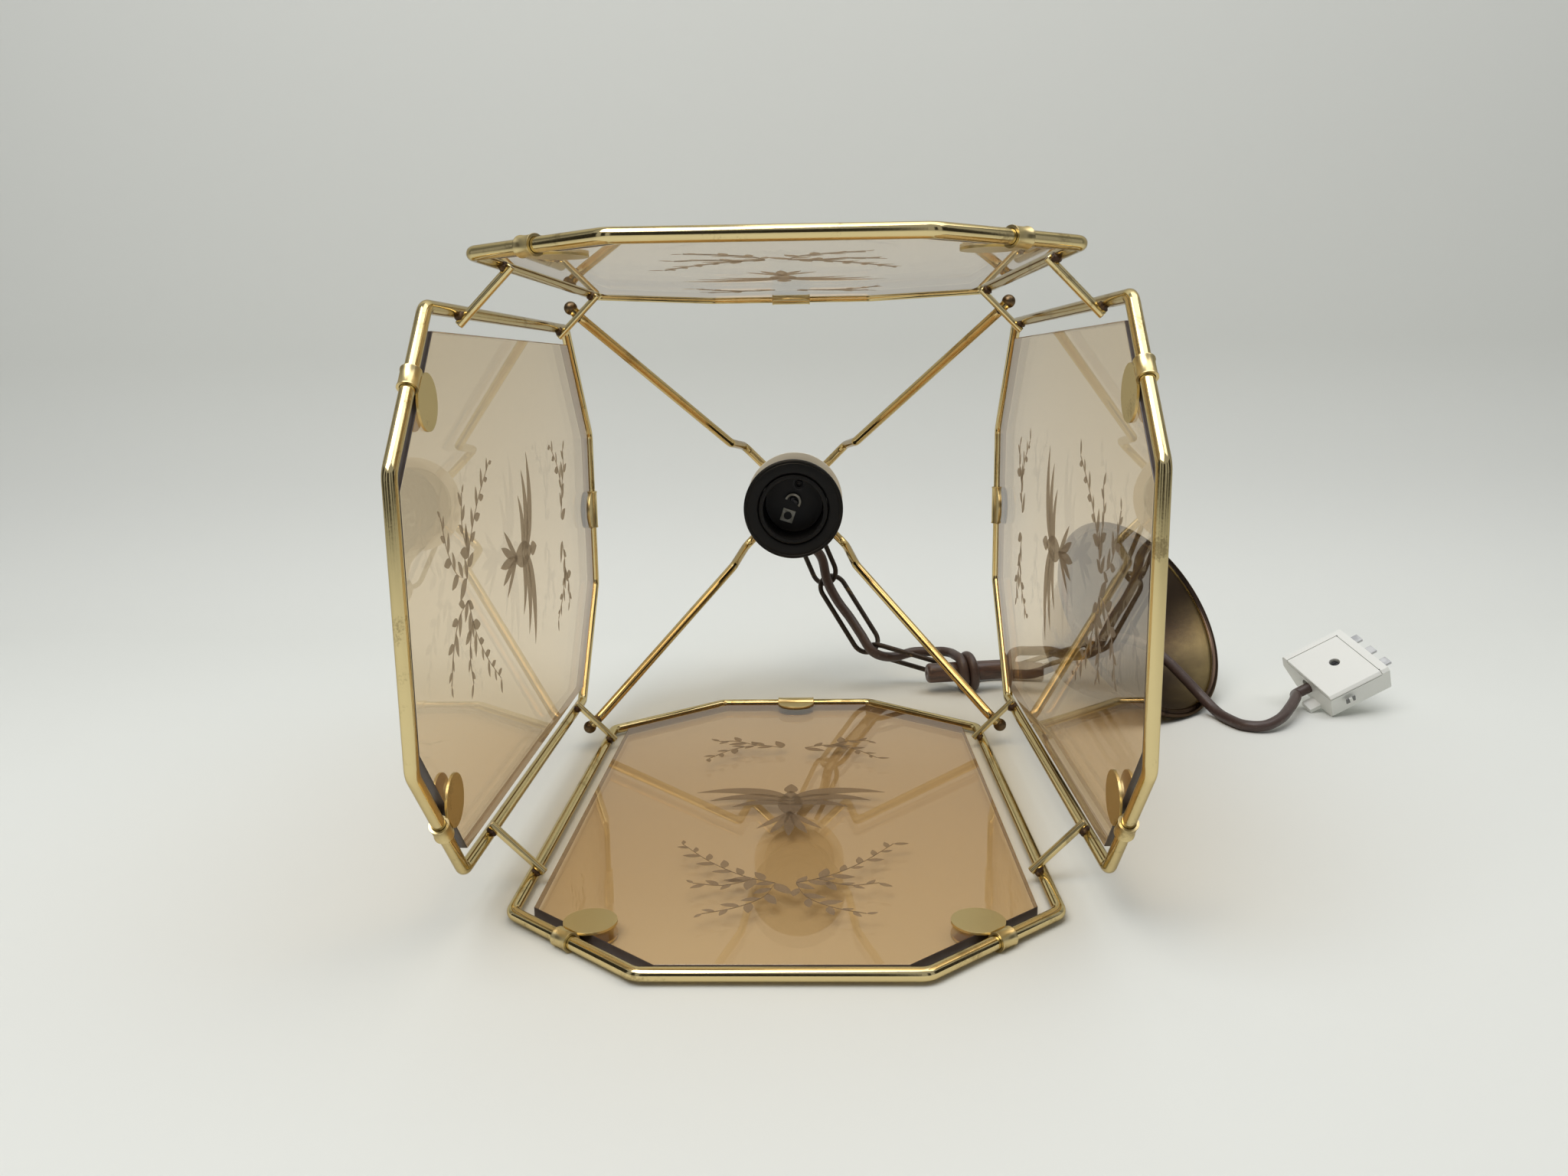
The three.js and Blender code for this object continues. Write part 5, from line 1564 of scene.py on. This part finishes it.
class LANTERN_OT_chain(bpy.types.Operator):
    """Make the three links of the chain"""
    bl_idname = "lantern.chain"
    bl_label = "Chain"

    def execute(self, context):
        c = sizes(context, "chain")
        loop = sizes(context, "crown")
        foot_y = hub_places(sizes(context, "panels"), loop)[-1]
        headings = [Vector(h).normalized() for h in CHAIN_HEADINGS]
        pull = Vector((0, headings[0].y, headings[0].z)).normalized()
        start = Vector((0, foot_y + loop.loop_wire + loop.loop, 0)) + pull * (loop.loop - SEAT_GAP)
        end_radius = (c.width - c.wire) / 2
        straight = (c.length - c.wire) / 2 - end_radius
        for number, (heading, roll) in enumerate(zip(headings, CHAIN_ROLLS), 1):
            across = heading.cross(Vector((0, 1, 0))).normalized()
            across = Matrix.Rotation(math.radians(roll), 3, heading) @ across
            middle = start + heading * (straight + end_radius - (c.wire + c.slack) / 2)
            points = []
            for end in (1, -1):
                for x, y in arc(end_radius, -90, 90, 16):
                    points.append(row(*(middle + heading * (end * (straight + x)) + across * (end * y))))
            shape = rod(points, c.wire - SEAT_GAP * 0.6, "bronze", closed=True)
            self.weld(shape, row(*(middle + across * end_radius)), heading, c.wire / 2)
            finish(f"chain_loop_{number}", shape, "bronze", f"link_{number}", "dark_bronze",
                   f"chain_link_{number}")
            start = start + heading * (c.length - 2 * c.wire - c.slack)
        return {"FINISHED"}

    def weld(self, shape, seam, heading, radius):
        """The butt seam where the link is closed: a low collar on one long side."""
        root, half = radius * 0.9, 0.0006
        collar = [(root, -half), (radius, -half / 3), (radius, half / 3), (root, half)]
        add_lathe(shape, collar, along(heading, seam), 24)


class LANTERN_OT_canopy(bpy.types.Operator):
    """Make the canopy with its rolled bead, and the bush and nut in its neck"""
    bl_idname = "lantern.canopy"
    bl_label = "Canopy"

    def execute(self, context):
        c = sizes(context, "canopy")
        hole = c.bush + SEAT_GAP
        outer = [(hole, -c.height)] + [(radius, -behind) for radius, behind in canopy_wall(c)]
        inner = [(radius - c.wall, height + c.wall) for radius, height in outer[1:]]
        inner.insert(0, (hole, c.wall - c.height))
        bead = [(c.radius - c.bead + x, y - c.bead) for x, y in arc(c.bead, -90, 180, 24)]
        outside = self.rounded(outer)
        segments = 144
        shape = bmesh.new()
        faces = add_lathe(shape, outside + bead + self.rounded(inner)[::-1],
                          along(CANOPY_AXIS, row(*canopy_centre(c))), segments)
        # Rows of faces: the outside, then the bead, painted dark as a painted reflection but for its last
        # two rows, which keep the outside's brass as a painted highlight line, then the inside
        lip_from = segments * len(outside)
        inside_from = lip_from + segments * (len(bead) - 1)
        painted_highlight_rows = segments * 2
        for face in faces[lip_from:inside_from - painted_highlight_rows]:
            face.material_index = 2
        for face in faces[inside_from:]:
            face.material_index = 1
        finish("brass_canopy", shape, "canopy canopy_inside canopy_lip", "canopy", "canopy_brass",
               "canopy", sharp=50.0)
        for node, name in (("canopy_bush", "neck_bush"), ("canopy_nut", "neck_nut")):
            finish(name, copy_of(node), "nylon", "canopy_grip", "nylon", node, edge=c.edge, sharp=30.0)
        return {"FINISHED"}

    def rounded(self, wall):
        """The wall's corners eased into a smooth sweep."""
        path = smooth_path([Vector((radius, height, 0)) for radius, height in wall], 0.003)
        return [(point.x, point.y) for point in path]


class LANTERN_OT_cord(bpy.types.Operator):
    """Make the cord from the hub to the plug, and the keeper rod that it is wound on"""
    bl_idname = "lantern.cord"
    bl_label = "Cord and keeper"

    def execute(self, context):
        c = sizes(context, "cord")
        wrap = wrap_points(c)
        gap = SEAT_GAP + c.diameter / 2
        arrive = wrap[0] + (wrap[0] - wrap[1]).normalized() * gap
        depart = wrap[-1] + (wrap[-1] - wrap[-2]).normalized() * gap
        centre = canopy_centre(sizes(context, "canopy"))
        through = [centre - CANOPY_AXIS * behind for behind in CANOPY_CORD_BEHIND]
        route = [*map(Vector, LAMP_CORD), arrive, *wrap, depart, *map(Vector, FLOOR_CORD), *through,
                 *map(Vector, OUTER_CORD)]
        points = [AXIS_ORIGIN + p for p in route]
        origin, turn = plug_frame()
        entry = -sizes(context, "plug").width / 2
        for x in (entry - c.diameter, entry - c.diameter / 4, entry + c.diameter / 2):
            points.append(origin + turn @ Vector((x, *PLUG_ENTRY)))
        path = smooth_path(points)
        cord = finish("mains_cord", tube_along(path, c.diameter / 2), "cord", "lantern", "cord_sheath",
                      "lamp_cord", "cord_wrap", "plug_cord", sharp=60.0)

        start = row(*KEEPER_START_XY, FLOOR_Z + SEAT_GAP * 2 + c.diameter + c.keeper)
        radius = c.keeper - SEAT_GAP / 3
        outline = [(0, 0), (radius, 0), (radius, c.keeper_length), (0, c.keeper_length)]
        shape = bmesh.new()
        add_lathe(shape, soften(outline, c.keeper_edge, 6), along(KEEPER_AXIS, start), 64)
        keeper = finish("keeper_rod", shape, "keeper", "lantern", "dark_wood", "cord_keeper")

        total = sum((b - a).length for a, b in zip(path, path[1:]))
        names = ["plug_body", "plug_cover", "plug_cover_screw", "plug_collars", "plug_marks"]
        names += [f"plug_pin_{k}" for k in (1, 2, 3)]
        [keeper] + [bpy.data.objects[name] for name in names]
        return {"FINISHED"}


# Middle of the latch window, along and across the plug and down from its face, and the vents' places
LATCH_WINDOW = (-0.0057, -0.02215, -0.0062)
VENTS_XY = ((0.0167, 0.0195), (0.0167, -0.017))


class LANTERN_OT_plug(bpy.types.Operator):
    """Make the three-blade plug with its lid and screw"""
    bl_idname = "lantern.plug"
    bl_label = "Plug"

    def execute(self, context):
        for node, name, look, slot, edge in (
            ("plug_housing", "plug_body", "plug", "white_plastic", 0.0005),
            ("plug_lid", "plug_cover", "plug", "white_plastic", 0.00035),
            ("plug_blade_1", "plug_pin_1", "steel", "steel", 0.00025),
            ("plug_blade_2", "plug_pin_2", "steel", "steel", 0.00025),
            ("plug_blade_3", "plug_pin_3", "steel", "steel", 0.00025),
        ):
            finish(name, copy_of(node), look, "lantern", slot, node, edge=edge, segments=3, sharp=30.0)
        c = sizes(context, "plug")
        origin, turn = plug_frame()
        place = Matrix.Translation(origin) @ turn.to_4x4()
        self.screw(c, place)
        self.marks(c, place)
        self.collars(c, place)
        return {"FINISHED"}

    def screw(self, c, place):
        """The lid screw: a head with two half-moons either side of its slot."""
        low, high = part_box("plug_screw")
        head = place.inverted() @ ((low + high) / 2)
        top = max((place.inverted() @ v.co).z for v in frame["nodes"]["plug_screw"].data.vertices)
        at = place @ Matrix.Translation((head.x, head.y, 0))
        edge, half_moon_inset = 0.0004, 0.0005
        floor = top - c.screw_slot
        foot = top - c.screw_length
        shape = bmesh.new()
        add_lathe(shape, soften([
            (0, foot), (c.screw, foot), (c.screw, floor - edge), (c.screw - edge, floor), (0, floor),
        ], edge / 2, 2), at, 40)
        for side in (1, -1):
            half_moon = [(x, side * y) for x, y in arc(c.screw - half_moon_inset, 12, 168, 12)]
            add_prism(shape, half_moon, floor, top, at)
        # The lid screw is in dark steel as a painted shade of its hole
        finish("plug_cover_screw", shape, "dark_steel", "lantern", "steel", "plug_screw")

    def marks(self, c, place):
        """The latch window in the plug's flank, with its bar, and two vents in the rim of its face."""
        flank = place @ Matrix.Translation(LATCH_WINDOW) @ Matrix.Rotation(math.pi / 2, 4, "X")
        x, y, proud = c.window / 2, c.window_height / 2, 0.00004
        shape = bmesh.new()
        add_prism(shape, [(-x, -y), (x, -y), (x, y), (-x, y)], -c.window_depth, proud, flank, index=1)
        for vent in VENTS_XY:
            add_lathe(shape, [(0, -c.vent_depth), (c.vent, -c.vent_depth), (c.vent, proud), (0, proud)],
                      place @ Matrix.Translation((*vent, 0)), 20, index=1)
        narrow, wide = 0.0006, 0.0012
        add_prism(shape, [(-narrow, -y), (wide, -y), (narrow, y), (-wide, y)], -c.window_depth,
                  c.window_depth / 2, flank)
        finish("plug_marks", shape, "plug recess", "lantern", "white_plastic")

    def collars(self, c, place):
        """A low block round the root of each blade."""
        root, tip = c.width / 2 - SEAT_GAP, c.width / 2 + c.collar
        bottom = -c.blade_drop - c.collar_height / 2
        shape = bmesh.new()
        for middle in (-c.blade_gap, 0, c.blade_gap):
            low, high = middle - c.collar_width / 2, middle + c.collar_width / 2
            outline = [(root, low), (tip, low), (tip, high), (root, high)]
            add_prism(shape, outline, bottom, bottom + c.collar_height, place)
        finish("plug_collars", shape, "plug", "lantern", "white_plastic", edge=0.0002)


OPERATORS = (
    LANTERN_OT_stage,
    LANTERN_OT_plug,
    LANTERN_OT_cord,
    LANTERN_OT_frames,
    LANTERN_OT_panes,
    LANTERN_OT_clips,
    LANTERN_OT_crown,
    LANTERN_OT_lampholder,
    LANTERN_OT_chain,
    LANTERN_OT_canopy,
)


class LANTERN_PT_sidebar(bpy.types.Panel):
    """Lists the steps that build the lantern"""
    bl_idname = "LANTERN_PT_sidebar"
    bl_label = "Lantern"
    bl_space_type = "VIEW_3D"
    bl_region_type = "UI"
    bl_category = "Lantern"

    def draw(self, context):
        for operator in OPERATORS:
            self.layout.operator(operator.bl_idname)


def register():
    for kind in (*SETTINGS.values(), *OPERATORS, LANTERN_PT_sidebar):
        bpy.utils.register_class(kind)
    for name, kind in SETTINGS.items():
        setattr(bpy.types.Scene, "lantern_" + name, PointerProperty(type=kind))


def unregister():
    for name in SETTINGS:
        delattr(bpy.types.Scene, "lantern_" + name)
    for kind in (LANTERN_PT_sidebar, *reversed(OPERATORS), *reversed(SETTINGS.values())):
        bpy.utils.unregister_class(kind)


def main():
    register()
    LOOKS.update(make_looks(bpy.context.scene.lantern_finish))
    for operator in OPERATORS:
        group, name = operator.bl_idname.split(".")
        getattr(getattr(bpy.ops, group), name)()


if __name__ == "__main__":
    main()
